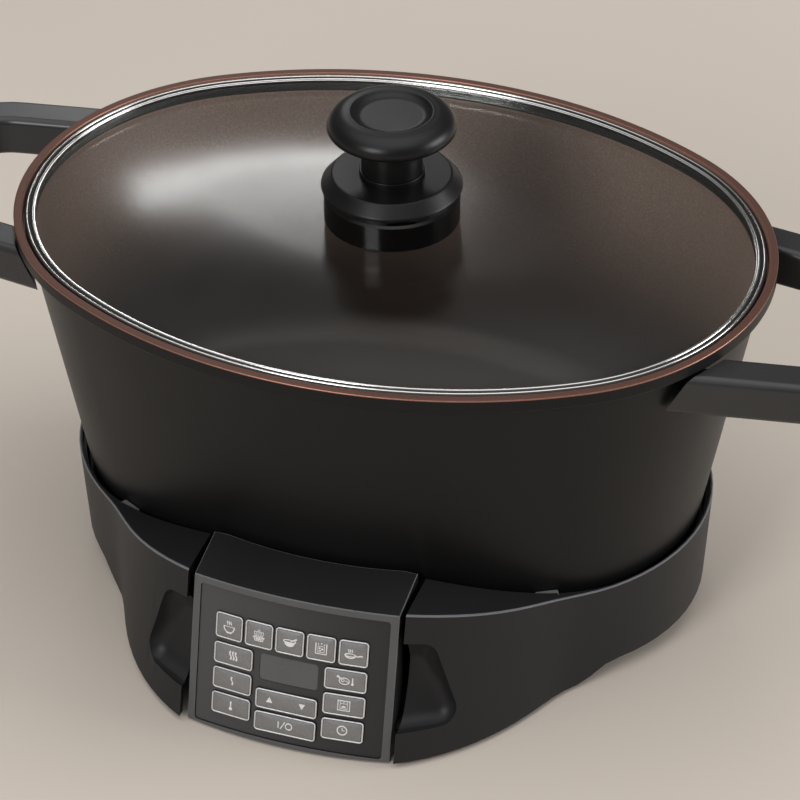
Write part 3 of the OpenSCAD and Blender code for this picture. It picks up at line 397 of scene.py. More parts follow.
FINISHES = {
    "housing": lambda c: moulding("Satin black housing", c.housing, 0.48, specular=0.35),
    # Painted highlight: the ridge's rounding is coloured 13 times lighter than the housing
    "ridge": lambda c: moulding("Polished housing edge", tint(c.housing, 13.0), 0.25),
    "handle": lambda c: moulding("Satin handle plastic", c.handle, 0.3),
    "knob": lambda c: moulding("Knob plastic", c.knob, 0.35, 0.0004, 0.00001, 0.34),
    "underside": lambda c: moulding("Plain black floor plastic", c.housing, 0.6),
    "rubber": lambda c: moulding("Rubber", tint(c.housing, 1.4), 0.8, 0.0008, 0.00004, 0.3),
    "gloss": lambda c: moulding("Gloss black collar", tint(c.knob, 0.35), 0.14, 0.004, 0.000002),
    "locator": lambda c: moulding("Locator pad", c.locator, 0.55),
    # Painted shade: the fascia darkens to a quarter of its colour towards its right
    "fascia": lambda c: moulding(
        "Fascia film", c.fascia, 0.5, 0.0003, 0.000008, painted_shade=("X", -0.06, 0.05, 0.25)
    ),
    "frame": lambda c: moulding("Panel frame plastic", c.frame, 0.45),
    # Painted highlight on the frame's bevelled edges: 1.6 times the frame's colour
    "frame_edge": lambda c: moulding("Polished frame edge", tint(c.frame, 1.6), 0.25),
    "display": lambda c: moulding("Smoked display window", c.display, 0.3, 0.0003, 0.000004),
    "fuse": lambda c: moulding("Fuse sleeve", (0.55, 0.5, 0.38), 0.6),
    "terminal": lambda c: moulding("White terminal plastic", (0.62, 0.61, 0.57), 0.5),
    "board": lambda c: moulding("Circuit board", (0.02, 0.11, 0.045), 0.4, 0.001, 0.00003),
    "coat": lambda c: coated("Black pot coat", c.coat, 0.4, 0.0, 0.0007, 0.000008, 0.22),
    "rim": lambda c: coated("Copper-brown rim", c.rim, 0.45, 0.3, 0.0006, 0.000008, 0.3),
    # The rim's rounded outer edge, coloured 3.2 times lighter and more metallic than the rim's top
    "rim_edge": lambda c: coated("Worn rim edge", tint(c.rim, 3.2), 0.35, 0.6, 0.0006, 0.000008),
    # Painted shade: the inside darkens to 0.13 of its colour towards the pot's floor
    "inside": lambda c: coated(
        "Copper-brown pot inside", c.inside, 0.5, 0.2, 0.0009, 0.000006, 0.25, ("Z", 0.175, 0.08, 0.13)
    ),
    "steel": lambda c: metal("Bright steel band", c.steel, 0.18, (0.15, 0.15, 1.0), 0.0000004),
    "plain_steel": lambda c: metal("Plain steel", tint(c.steel, 0.75), 0.34),
    # Dark steel: the liner's own colour, and painted shade on the lid band's outer edge and groove
    "sheet": lambda c: metal("Darkened steel sheet", tint(c.steel, 0.07), 0.5, (1.0, 1.0, 0.1)),
    "plate": lambda c: turned_metal("Turned aluminium", (0.62, 0.62, 0.63), 0.36),
    "glass": lambda c: clear_glass("Lid glass", (0.97, 0.985, 0.98)),
    "key_face": lambda c: coated("Satin key face", c.key_face, 0.42, 0.6, 0.0004, 0.000006),
    "key_rim": lambda c: coated("Bright key rim", c.key_rim, 0.35, 0.25, 0.0004, 0.000004),
    # Key sides, and painted shade in the groove inside each key's rim
    "key_side": lambda c: moulding("Key side plastic", tint(c.fascia, 0.35), 0.5),
    "ink": lambda c: ink("White key ink", c.ink),
}
made_finishes = {}


def finish(key):
    """The material of a finish, made when it is first asked for."""
    if key not in made_finishes:
        made_finishes[key] = FINISHES[key](bpy.context.scene.multicooker_colours)
    return made_finishes[key]


# Mesh work


def deselect():
    if bpy.context.object and bpy.context.object.mode != "OBJECT":
        bpy.ops.object.mode_set(mode="OBJECT")
    bpy.ops.object.select_all(action="DESELECT")


def pick(*pieces):
    deselect()
    for piece in pieces:
        piece.select_set(True)
    bpy.context.view_layer.objects.active = pieces[0]


def edit(piece):
    """Enters edit mode on one piece with all of it selected."""
    pick(piece)
    bpy.ops.object.mode_set(mode="EDIT")
    bpy.ops.mesh.select_all(action="SELECT")


def leave():
    bpy.ops.object.mode_set(mode="OBJECT")


def choose(piece, kind, rule):
    """Selects the faces or edges that a rule holds for, in edit mode."""
    bpy.ops.mesh.select_all(action="DESELECT")
    bpy.ops.mesh.select_mode(type="FACE" if kind == "faces" else "EDGE")
    mesh = bmesh.from_edit_mesh(piece.data)
    for item in getattr(mesh, kind):
        item.select_set(bool(rule(item)))
    bmesh.update_edit_mesh(piece.data)


def apply_modifier(piece, kind, **values):
    pick(piece)
    bpy.ops.object.modifier_add(type=kind)
    modifier = piece.modifiers[-1]
    for key, value in values.items():
        setattr(modifier, key, value)
    bpy.ops.object.modifier_apply(modifier=modifier.name)


def soften(piece, width):
    """Rounds every edge that isn't nearly flat."""
    apply_modifier(
        piece, "BEVEL", width=width, segments=2, limit_method="ANGLE",
        angle_limit=math.radians(35.0), use_clamp_overlap=True,
    )


def shade(piece, angle):
    """Shades a piece smooth, with a crease where it turns by more than an angle in degrees."""
    pick(piece)
    bpy.ops.mesh.customdata_custom_splitnormals_clear()
    bpy.ops.object.shade_smooth_by_angle(angle=math.radians(angle), keep_sharp_edges=False)


def paint(piece, keys, rule):
    """Gives each face the finish that a rule picks from a list, by its place and normal."""
    piece.data.materials.clear()
    for key in keys:
        piece.data.materials.append(finish(key))
    for face in piece.data.polygons:
        face.material_index = keys.index(rule(face.center, face.normal))


def stand_for(piece, node, upper=None):
    """Puts a finished piece in the place of a CAD node.

    Where an upper body is named, the piece is baked in place and attached to no body; the name itself is
    not used.
    """
    if upper:
        BODY_OF_NODE[node]
        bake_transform(piece)
    else:
        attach(piece, BODY_OF_NODE[node])
    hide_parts(node)
    SLOT_OF_NODE[node]


def copy_of(node, name):
    """A merged copy of a CAD node's mesh."""
    piece = bpy.data.objects.new(name, frame["nodes"][node].data.copy())
    bpy.context.scene.collection.objects.link(piece)
    edit(piece)
    bpy.ops.mesh.remove_doubles(threshold=SAME_POINT)
    leave()
    piece.data.materials.clear()
    return piece


def even_normals(piece):
    """Lets large faces rule the shading, so that flats stay flat."""
    apply_modifier(piece, "WEIGHTED_NORMAL", keep_sharp=True, weight=80)


def dress(node, name, key, angle=30.0, bevel=0.0, shape=None, upper=None):
    """A copy of a CAD node with its finish and soft shading.

    It gets round edges, or changes that a shape function makes, where they are asked for.
    """
    piece = copy_of(node, name)
    edit(piece)
    bpy.ops.mesh.dissolve_limited(angle_limit=FLAT_ANGLE)
    bpy.ops.mesh.dissolve_degenerate(threshold=SHORT_EDGE)
    leave()
    piece.data.materials.append(finish(key))
    if shape:
        shape(piece)
    if bevel:
        soften(piece, bevel)
    shade(piece, angle)
    even_normals(piece)
    stand_for(piece, node, upper)
    return piece


def edge_line(piece, rule, width, key):
    """Rounds the edges that a rule picks and gives the rounding a finish of its own."""
    piece.data.materials.append(finish(key))
    edit(piece)
    choose(piece, "edges", rule)
    bpy.ops.mesh.bevel(
        offset=width, offset_type="OFFSET", segments=2, affect="EDGES", clamp_overlap=True
    )
    piece.active_material_index = len(piece.data.materials) - 1
    bpy.ops.object.material_slot_assign()
    leave()


def bow(x, y, rx, ry, start, end, count=16):
    """Points of part of an ellipse, between two angles in degrees."""
    angles = [math.radians(start + (end - start) * i / count) for i in range(count + 1)]
    return [(x + rx * math.cos(a), y + ry * math.sin(a)) for a in angles]


def arc(x, y, radius, start, end, count):
    """Points of part of a circle, between two angles in degrees."""
    return bow(x, y, radius, radius, start, end, count)


def chain(name, points, closed):
    """A line of points, ready to be spun."""
    edges = [(i, i + 1) for i in range(len(points) - 1)]
    if closed:
        edges.append((len(points) - 1, 0))
    mesh = bpy.data.meshes.new(name)
    mesh.from_pydata(points, edges, [])
    piece = bpy.data.objects.new(name, mesh)
    bpy.context.scene.collection.objects.link(piece)
    edit(piece)
    return piece


def close_up(piece, capped):
    """Joins a spun shell's seam, fills its open middles where asked, and turns its faces outwards."""
    bpy.ops.mesh.select_all(action="SELECT")
    bpy.ops.mesh.remove_doubles(threshold=SAME_POINT)
    if capped:
        bpy.ops.mesh.select_mode(type="EDGE")
        bpy.ops.mesh.select_all(action="DESELECT")
        bpy.ops.mesh.select_non_manifold()
        bpy.ops.mesh.fill_holes(sides=0)
        bpy.ops.mesh.select_all(action="SELECT")
    bpy.ops.mesh.normals_make_consistent(inside=False)
    leave()


def round_spin(name, profile):
    """Spins a closed profile of (reach, height) millimetres about the pot's axis."""
    piece = chain(name, [(r * MM, AXIS_Y, z * MM) for r, z in profile], True)
    turn = 2 * math.pi
    bpy.ops.mesh.spin(steps=ROUND_STEPS, angle=turn, center=(0, AXIS_Y, 0), axis=(0, 0, 1))
    close_up(piece, False)
    return piece


def oval_spin(name, profile, closed):
    """Spins a profile of (offset from the rim's outline, height) millimetres round the oval."""
    c, s = math.cos(END_ANGLE), -math.sin(END_ANGLE)
    points = [
        (END_X + (RIM_END + d * MM) * c, AXIS_Y + (RIM_END + d * MM) * s, z * MM) for d, z in profile
    ]
    piece = chain(name, points, closed)
    side_angle = math.pi - 2 * END_ANGLE
    for side in (1, -1):
        for steps, angle, centre in (
            (END_STEPS, 2 * END_ANGLE, (side * END_X, AXIS_Y, 0)),
            (SIDE_STEPS, side_angle, (0, AXIS_Y - side * SIDE_Y, 0)),
        ):
            bpy.ops.mesh.spin(steps=steps, angle=angle, center=centre, axis=(0, 0, -1))
    close_up(piece, not closed)
    return piece


def rim_offset(point):
    """Millimetres outside the rim's outline at a place in the frame."""
    x, y = abs(point.x), abs(point.y - AXIS_Y)
    if math.atan2(y, x - END_X) < END_ANGLE:
        return (math.hypot(x - END_X, y) - RIM_END) / MM
    return (math.hypot(x, y + SIDE_Y) - SIDE_R) / MM


def ridge_height(x, y):
    """Height of the housing's ridge at a place, which falls from the panel towards the sides."""
    turn = math.degrees(math.atan2(abs(x), AXIS_Y - y))
    share = min(max((turn - RIDGE_START) / RIDGE_SPAN, 0), 1)
    return RIDGE_Z - RIDGE_FALL * share * share * (3 - 2 * share)


def panel_spot(point):
    """Millimetres across, up and into the panel's face at a place in the frame."""
    y, z = point.y - PANEL_FOOT_Y, point.z
    lean_c, lean_s = math.cos(PANEL_TILT), math.sin(PANEL_TILT)
    return point.x / MM, (y * lean_s + z * lean_c) / MM, (y * lean_c - z * lean_s) / MM


def round_corners(piece, across, low, high, radius):
    """Rounds the four corners of an outline on the panel's face."""

    def corner(edge):
        spots = [panel_spot(vertex.co) for vertex in edge.verts]
        return abs(spots[0][2] - spots[1][2]) > 0.4 and all(
            abs(abs(u) - across) < 0.06 and min(abs(w - low), abs(w - high)) < 0.06 for u, w, _ in spots
        )

    edit(piece)
    choose(piece, "edges", corner)
    bpy.ops.mesh.bevel(offset=radius, offset_type="OFFSET", segments=5, affect="EDGES")
    leave()


def panel_place(u, w):
    """Turns a key's own millimetres (across, up, out) into the frame's metres."""
    turn = math.asin(u * MM / PANEL_BOW)
    lean_c, lean_s = math.cos(PANEL_TILT), math.sin(PANEL_TILT)
    across = Vector((math.cos(turn), math.sin(turn) * lean_c, -math.sin(turn) * lean_s))
    up = Vector((0, lean_s, lean_c))
    out = across.cross(up)
    sag = PANEL_BOW * (1 - math.cos(turn))
    spot = (u * MM, PANEL_FOOT_Y + sag * lean_c + w * MM * lean_s, w * MM * lean_c - sag * lean_s)
    rows = [[across[i] * MM, up[i] * MM, out[i] * MM, spot[i]] for i in range(3)]
    return Matrix([*rows, [0, 0, 0, 1]])


# Keys and their symbols


def round_rect_depth(x, y, width, height, corner):
    """How far a point lies inside a rectangle with round corners."""
    over_x, over_y = abs(x) - width / 2 + corner, abs(y) - height / 2 + corner
    return corner - math.hypot(max(over_x, 0), max(over_y, 0)) - min(max(over_x, over_y), 0)


def key_blank(name, width, height, sizes):
    """A key cap about its own middle: round corners, a raised rim and a crowned face."""
    deselect()
    bpy.ops.mesh.primitive_cube_add(size=1, location=(0, 0, 0))
    cap = bpy.context.object
    cap.name = name
    cap.data.transform(
        Matrix.Translation((0, 0, (KEY_TOP + KEY_BACK) / 2))
        @ Matrix.Diagonal((width, height, KEY_TOP - KEY_BACK, 1))
    )
    edit(cap)
    choose(cap, "edges", lambda e: abs(e.verts[0].co.z - e.verts[1].co.z) > 1)
    bpy.ops.mesh.bevel(offset=KEY_CORNER, offset_type="OFFSET", segments=6, affect="EDGES")
    choose(cap, "faces", lambda f: f.normal.z > 0.9)
    rim = sizes.rim_width / MM
    rise = sizes.rim_rise / MM
    for thickness, depth in (
        (rim * 0.15, rise * 0.6), (rim * 0.2, rise * 0.4), (rim * 0.35, 0.0), (rim * 0.15, -rise * 0.3),
        (rim * 0.15, -rise * 0.7), (KEY_GROOVE, 0.0), (0.12, rise * 0.25),
    ):
        bpy.ops.mesh.inset(thickness=thickness, depth=depth)
    bpy.ops.mesh.poke(offset=KEY_CROWN)
    leave()
    shade(cap, 40)

    def part(centre, normal):
        inside = round_rect_depth(centre.x, centre.y, width, height, KEY_CORNER)
        # The key's sides get their own dark finish, and the groove inside the rim gets the same finish as
        # painted shade
        if centre.z < KEY_TOP - KEY_EDGE or rim < inside < rim + KEY_GROOVE:
            return "key_side"
        return "key_rim" if inside < rim else "key_face"

    paint(cap, ["key_face", "key_rim", "key_side"], part)
    return cap


def wave(x, y, height, swing):
    """A wavy stroke that rises from a point."""
    count = 12
    return [
        (x + swing * math.sin(2 * math.pi * i / count), y + height * i / count)
        for i in range(count + 1)
    ]


def steam(x, y, height, spacing):
    """Three curls of steam side by side."""
    return [("line", wave(x + i * spacing, y, height, 0.16), 0.42) for i in (-1, 0, 1)]


def thermometer(x, y, height, bulb, weight):
    """A stem that stands on a filled bulb."""
    return [
        ("line", [(x, y + bulb * 0.5), (x, y + height)], weight),
        ("fill", bow(x, y, bulb, bulb, 0, 337.5, 15)),
    ]


# Strokes of each symbol in millimetres on its key: an open line, a closed loop or a filled shape
SYMBOLS = {
    "key_soup": [
        ("loop", bow(0, 0.1, 2.5, 2.9, 180, 360), 0.5),
        ("line", [(-1.2, -2.95), (1.2, -2.95)], 0.5),
        *steam(0, 1.0, 1.7, 0.85),
    ],
    "key_steam": [
        ("loop", [(-1.8, -0.5), (1.8, -0.5), (2.1, 1.5), (-2.1, 1.5)], 0.42),
        *[("line", [(x, -0.3), (x * 1.15, 1.3)], 0.42) for x in (-0.9, 0, 0.9)],
        ("loop", [(-0.7, 1.6), (0.7, 1.6), (0, 2.6)], 0.42),
        ("line", [(-2.7, -1.1), (2.7, -1.1)], 0.5),
        ("line", [(-2.2, -1.1), (-1.8, -2.8), (1.8, -2.8), (2.2, -1.1)], 0.42),
        *[("loop", bow(x, -1.95, 0.36, 0.36, 0, 330, 11), 0.36) for x in (-0.95, 0, 0.95)],
    ],
    "key_stew": [
        ("fill", [*bow(0, 0.1, 2.4, 2.3, 190, 350), (2.3, 0.1), (-2.3, 0.1)]),
        ("loop", bow(0, 0.35, 2.75, 0.75, 0, 345, 23), 0.42),
        ("line", [(0.5, 0.4), (1.8, 1.2), (3.2, 1.9)], 0.62),
    ],
    "key_water_bath": [
        ("line", [(-2.4, 2.5), (-2.4, -2.6), (2.4, -2.6), (2.4, 2.5)], 0.5),
        ("loop", [(-1.4, -1.8), (1.4, -1.8), (1.4, 1.0), (-1.4, 1.0)], 0.42),
        *[
            ("fill", bow(x, y, r, r, 0, 330, 11))
            for x, y, r in (
                (-0.6, 0.1, 0.42), (0.55, -0.25, 0.5), (-0.4, -1.0, 0.4),
                (-1.3, 2.0, 0.3), (0.1, 2.3, 0.34), (1.4, 1.9, 0.3),
            )
        ],
    ],
    "key_fry": [
        ("loop", bow(-1.4, -0.9, 2.3, 0.72, 0, 345, 23), 0.5),
        ("line", bow(-1.4, -1.0, 2.2, 1.3, 190, 350), 0.5),
        ("line", [(0.9, -1.0), (1.8, -1.2), (2.6, -0.9), (3.4, -0.7), (4.1, -0.95)], 0.55),
        *steam(-1.4, 0.4, 1.5, 0.8),
    ],
    "key_high": [("line", wave(x, -2.0, 4.0, 0.38), 0.72) for x in (-1.35, 0, 1.35)],
    "key_low": [("line", wave(0, -1.8, 3.6, 0.38), 0.72)],
    "key_warm": thermometer(0, -1.4, 3.5, 0.82, 0.75),
    "key_roast": [
        ("loop", bow(-0.5, -0.35, 2.2, 1.55, 0, 345, 23), 0.45),
        ("line", [(-2.2, 0.7), (-3.3, 1.6)], 0.75),
        ("fill", bow(-3.4, 1.9, 0.36, 0.36, 0, 330, 11)),
        ("fill", bow(-3.7, 1.45, 0.36, 0.36, 0, 330, 11)),
        ("loop", bow(-1.2, 0.0, 0.62, 0.62, 0, 330, 11), 0.4),
        ("line", bow(0.2, -1.5, 1.2, 1.3, 30, 120, 8), 0.4),
        *thermometer(3.1, -1.4, 3.0, 0.6, 0.55),
    ],
    "key_bake": [
        ("loop", [(-2.6, -2.4), (2.6, -2.4), (2.6, 2.3), (-2.6, 2.3)], 0.55),
        ("loop", [(-1.6, -1.6), (1.6, -1.6), (1.6, 0.9), (-1.6, 0.9)], 0.4),
        *[("fill", bow(x, 1.6, 0.28, 0.28, 0, 330, 11)) for x in (-1.5, 0, 1.5)],
        ("fill", bow(0, -1.0, 1.0, 0.95, 0, 180, 10)),
    ],
    "key_timer": [
        ("loop", bow(0, 0, 2.1, 2.1, 0, 345, 23), 0.55),
        ("line", [(0, 1.3), (0, 0), (1.1, 0)], 0.5),
    ],
    "key_power": [
        ("line", [(-2.9, -1.5), (-2.9, 1.5)], 0.55),
        ("line", [(-1.9, -1.8), (0.1, 1.8)], 0.5),
        ("loop", bow(1.9, -0.05, 1.45, 1.45, 0, 345, 23), 0.55),
    ],
    "key_up_down": [
        ("fill", [(-9.1, -1.25), (-6.1, -1.25), (-7.6, 1.45)]),
        ("fill", [(5.8, 1.25), (8.8, 1.25), (7.3, -1.45)]),
    ],
}


def symbol(name, strokes, sizes):
    """The strokes of a symbol as one low relief, about its key's middle."""
    parts = []
    lift = KEY_TOP + sizes.rim_rise / MM * 0.2 + INK_LIFT
    thick = sizes.ink_rise / MM
    for kind, points, *weight in strokes:
        curve = bpy.data.curves.new(name, "CURVE")
        line = curve.splines.new("POLY")
        line.points.add(len(points) - 1)
        for point, (x, y) in zip(line.points, points):
            point.co = (x, y, 0, 1)
        line.use_cyclic_u = kind != "line"
        if kind == "fill":
            curve.dimensions = "2D"
            curve.fill_mode = "BOTH"
            curve.extrude = thick
            flat = 1
        else:
            curve.dimensions = "3D"
            curve.bevel_depth = weight[0] * STROKE_HALF
            curve.bevel_resolution = 1
            curve.use_fill_caps = True
            flat = thick / (weight[0] * STROKE_HALF)
        part = bpy.data.objects.new(name, curve)
        bpy.context.scene.collection.objects.link(part)
        pick(part)
        bpy.ops.object.convert(target="MESH")
        part = bpy.context.object
        part.data.transform(Matrix.Translation((0, 0, lift)) @ Matrix.Diagonal((1, 1, flat, 1)))
        parts.append(part)
    pick(*parts)
    if len(parts) > 1:
        bpy.ops.object.join()
    piece = bpy.context.object
    piece.name = name
    edit(piece)
    bpy.ops.mesh.remove_doubles(threshold=0.0001)
    bpy.ops.mesh.normals_make_consistent(inside=False)
    leave()
    shade(piece, 40)
    piece.data.materials.clear()
    piece.data.materials.append(finish("ink"))
    return piece


# Profiles, in millimetres


def pot_profile():
    """The pot from the middle of its underside, over the lip, to the middle of its floor."""
    lean = 10.0
    run = math.tan(math.radians(lean))
    cosine = math.cos(math.radians(lean))

    def wall(z):
        return -5.9 - (170.0 - z) * run

    foot, inner = 12.0, 14.0
    inner_z = 51.0 + inner
    return [
        (-60.0, 46.0),
        *arc(wall(58.0) - foot / cosine, 58.0, foot, -90, -lean, 10),
        *[(wall(z), z) for z in (80.0, 105.0, 130.0, 155.0)],
        *arc(-1.9, 170.0, 4.0, 180, 90, 8),
        *arc(-1.001, 175.0, 1.0, -90, 0, 4),
        *arc(-0.601, 179.9, 0.6, 0, 90, 5),
        (-3.0, 180.5),
        *arc(-3.2, 179.8, 0.7, 90, 180, 3),
        (-3.9, 174.47),
        *arc(-8.8, 173.67, 0.8, 90, 180, 3),
        *arc(wall(inner_z) - 3.4 / cosine - inner / cosine, inner_z, inner, -lean, -90, 12),
        (-60.0, 51.0),
    ]


def band_profile():
    """The steel band: a channel round the glass with two beads on top."""
    return [
        (-4.8, 174.5),
        *arc(-5.3, 179.3, 0.5, 0, 90, 4),
        *arc(-6.0, 179.75, 0.5, 12, 168, 10),
        (-6.8, 179.5), (-7.6, 179.5),
        *arc(-8.5, 179.75, 0.5, 12, 168, 10),
        *arc(-9.3, 179.55, 0.3, 90, 180, 4),
        (-9.6, 179.08), (-7.5, 179.08), (-7.5, 175.3), (-9.6, 175.3), (-9.6, 174.5),
    ]


def glass_profile():
    """The glass from the middle of its underside, round its edge, to the middle of its top."""
    rise = [(-10.6 - 81.4 * i / 16, 5.5 * math.sin(math.pi / 2 * i / 16)) for i in range(17)]
    return [
        *[(d, 175.4 + z) for d, z in reversed(rise)],
        (-7.8, 175.4), (-7.8, 179.0),
        *[(d, 179.0 + z) for d, z in rise],
    ]


COLLAR_PROFILE = [
    (4.4, 184.5), (29.0, 184.5), *arc(29.0, 185.3, 0.8, -60, 0, 3),
    (29.8, 196.5), (28.8, 197.5), (4.4, 197.5),
]
GUARD_PROFILE = [
    (4.4, 197.5), (28.8, 197.5), (28.8, 199.5), *arc(29.5, 201.2, 1.4, -75, 43, 8),
    *arc(25.4, 205.2, 1.8, 47, 90, 5), (4.4, 207.0),
]
HEAD_PROFILE = [
    (4.4, 207.0), (14.2, 207.0), *arc(13.8, 208.6, 0.4, 0, 90, 4), (13.3, 209.0),
    *arc(16.3, 225.0, 3.0, 180, 90, 8), *arc(25.7, 230.3, 2.3, -90, 0, 8),
    *[(x, 230.3 + (y - 230.3) * 7.2 / 8.8) for x, y in arc(19.2, 230.3, 8.8, 6, 90, 14)],
    (18.6, 237.62), (18.0, 237.7), (17.5, 237.58), *arc(13.0, 241.5, 6.0, -48, -90, 10),
    (0.01, 235.5), (0.01, 224.0), (4.4, 224.0),
]


def turned(node, piece, key, angle):
    """Finishes a spun piece in the place of a CAD node."""
    shade(piece, angle)
    even_normals(piece)
    piece.data.materials.append(finish(key))
    stand_for(piece, node)


def cut_vent(guard):
    """Cuts the steam vent's notch into the foot of the finger guard."""
    deselect()
    bpy.ops.mesh.primitive_cylinder_add(
        vertices=96, radius=VENT_RADIUS, depth=VENT_DEPTH, location=(0, 0, 0)
    )
    cutter = bpy.context.object
    cutter.data.transform(
        Matrix.Translation((0, AXIS_Y, VENT_Z))
        @ Matrix.Rotation(VENT_TURN, 4, "Z")
        @ Matrix.Translation((0, -VENT_REACH, 0))
        @ Matrix.Rotation(math.radians(90), 4, "X")
    )
    apply_modifier(guard, "BOOLEAN", operation="DIFFERENCE", object=cutter, solver="EXACT")
    bpy.data.objects.remove(cutter)


# What a user would change


def colour_property(name, description, default):
    return FloatVectorProperty(
        name=name, description=description, subtype="COLOR", size=3, min=0, max=1, default=default
    )


def length_property(name, description, default):
    return FloatProperty(
        name=name, description=description, default=default, min=0, unit="LENGTH", precision=5
    )


class MulticookerColours(bpy.types.PropertyGroup):
    """Colours of the multicooker's finishes."""

    housing: colour_property("Housing", "Base and underside", (0.013, 0.013, 0.014))
    handle: colour_property("Handles", "The pot's two loop handles", (0.025, 0.025, 0.0258))
    knob: colour_property("Knob", "Knob and finger guard", (0.006, 0.006, 0.0063))
    locator: colour_property("Locator pads", "Pads that centre the pot", (0.14, 0.14, 0.137))
    fascia: colour_property("Fascia", "Film round the keys", (0.068, 0.068, 0.069))
    frame: colour_property("Panel frame", "Frame round the fascia", (0.095, 0.095, 0.097))
    display: colour_property("Display", "Display window", (0.105, 0.105, 0.107))
    coat: colour_property("Pot coat", "Outside of the pot", (0.007, 0.007, 0.0073))
    rim: colour_property("Rim", "Top of the pot's lip", (0.115, 0.054, 0.038))
    inside: colour_property("Pot inside", "Coat inside the pot", (0.35, 0.24, 0.195))
    steel: colour_property("Steel", "Lid band and other bright metal", (0.72, 0.71, 0.69))
    key_face: colour_property("Key face", "Satin face of the keys", (0.28, 0.28, 0.284))
    key_rim: colour_property("Key rim", "Bright rim round each key", (0.74, 0.74, 0.74))
    ink: colour_property("Key ink", "Symbols on the keys", (0.88, 0.88, 0.88))


class MulticookerSizes(bpy.types.PropertyGroup):
    """Small sizes that only the dressed part has."""

    rim_width: length_property("Key rim", "Width of the raised rim round a key", 0.0007)
    rim_rise: length_property("Key rim rise", "Height of the rim above a key's edge", 0.00025)
    ink_rise: length_property("Symbol rise", "Half thickness of a symbol", 0.00007)


# Pieces


class MULTICOOKER_OT_base(bpy.types.Operator):
    """Finishes the housing, the floor and what is fixed to them."""

    bl_idname = "multicooker.base"
    bl_label = "Base"

    def execute(self, context):
        shell = dress("base_housing", "housing_shell", "housing", 28)

        def part(centre, normal):
            # Faces on the ridge's rounding get the painted highlight
            below = ridge_height(centre.x, centre.y) - centre.z
            near = -RIDGE_HIGHLIGHT_ABOVE < below < RIDGE_HIGHLIGHT_BELOW
            return "ridge" if near and 0.2 < normal.z < 0.97 else "housing"

        paint(shell, ["housing", "ridge"], part)
        dress("base_floor", "floor_plate", "underside", 30)
        dress("rubber_feet", "feet", "rubber", 40, 0.0012)
        dress("cord_gland", "cord_gland_boot", "rubber", 35)
        dress("pot_locators", "locator_pads", "locator", 30, 0.0004)
        dress("floor_screws", "base_screws", "plain_steel", 30, 0.0003)
        dress("power_board", "power_circuit", "board", 30)
        dress("terminal_block", "mains_terminals", "terminal", 30)
        return {"FINISHED"}


class MULTICOOKER_OT_heater(bpy.types.Operator):
    """Finishes the heater, its liner and the temperature sensor."""

    bl_idname = "multicooker.heater"
    bl_label = "Heater"

    def execute(self, context):
        dress("well_liner", "steel_liner", "sheet", 35)
        dress("heating_plate", "hot_plate", "plate", 30, 0.0006)
        dress("heater_tube", "heater_element", "plain_steel", 50)
        dress("plate_posts", "hot_plate_posts", "plain_steel", 40)
        dress("sensor_cup", "sensor_cap", "plate", 30, 0.0005)
        dress("sensor_spring", "sensor_coil", "plain_steel", 60, upper="sensor")
        dress("thermal_fuse", "fuse_sleeve", "fuse", 40)
        return {"FINISHED"}


class MULTICOOKER_OT_panel(bpy.types.Operator):
    """Finishes the key panel's frame, fascia and display."""

    bl_idname = "multicooker.panel"
    bl_label = "Panel"

    def execute(self, context):
        def outer(edge):
            if len(edge.link_faces) != 2 or edge.calc_face_angle() < 0.6:
                return False
            if all(vertex.co.z > FRAME_TOP_Z for vertex in edge.verts):
                return any(face.normal.z > 0.8 for face in edge.link_faces)
            sides = all(abs(vertex.co.x) > FRAME_SIDE_X for vertex in edge.verts)
            return sides and any(face.normal.y < -0.8 for face in edge.link_faces)

        def part(centre, normal):
            return "frame" if normal.y < -0.5 else "housing"

        def frame_shape(piece):
            round_corners(piece, *FRAME_OPENING)
            paint(piece, ["frame", "housing"], part)
            # The frame's outer edges are bevelled for real, and the bevels are painted lighter as a
            # highlight
            edge_line(piece, outer, FRAME_EDGE_WIDTH, "frame_edge")

        def fascia_shape(piece):
            round_corners(piece, *FASCIA_OUTLINE)

        dress("panel_frame", "panel_surround", "frame", 28, shape=frame_shape)
        dress("panel_fascia", "key_fascia", "fascia", 30, shape=fascia_shape)
        dress("display_window", "display_glass", "display", 30)
        dress("display_module", "display_backing", "underside", 30)
        dress("control_board", "key_circuit", "board", 30)
        return {"FINISHED"}


class MULTICOOKER_OT_keys(bpy.types.Operator):
    """Models the key caps and their symbols."""

    bl_idname = "multicooker.keys"
    bl_label = "Keys"

    def execute(self, context):
        sizes = context.scene.multicooker_sizes
        blanks = {}
        for node, (u, w, (width, height)) in KEYS.items():
            if (width, height) not in blanks:
                cap = key_blank(node + "_cap", width, height, sizes)
                blanks[width, height] = cap.data.copy()
            else:
                cap = bpy.data.objects.new(node + "_cap", blanks[width, height].copy())
                context.scene.collection.objects.link(cap)
            place = panel_place(u, w)
            cap.data.transform(place)
            stand_for(cap, node)
            mark = symbol(node + "_symbol", SYMBOLS[node], sizes)
            mark.data.transform(place)
            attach(mark, BODY_OF_NODE[node])
        return {"FINISHED"}


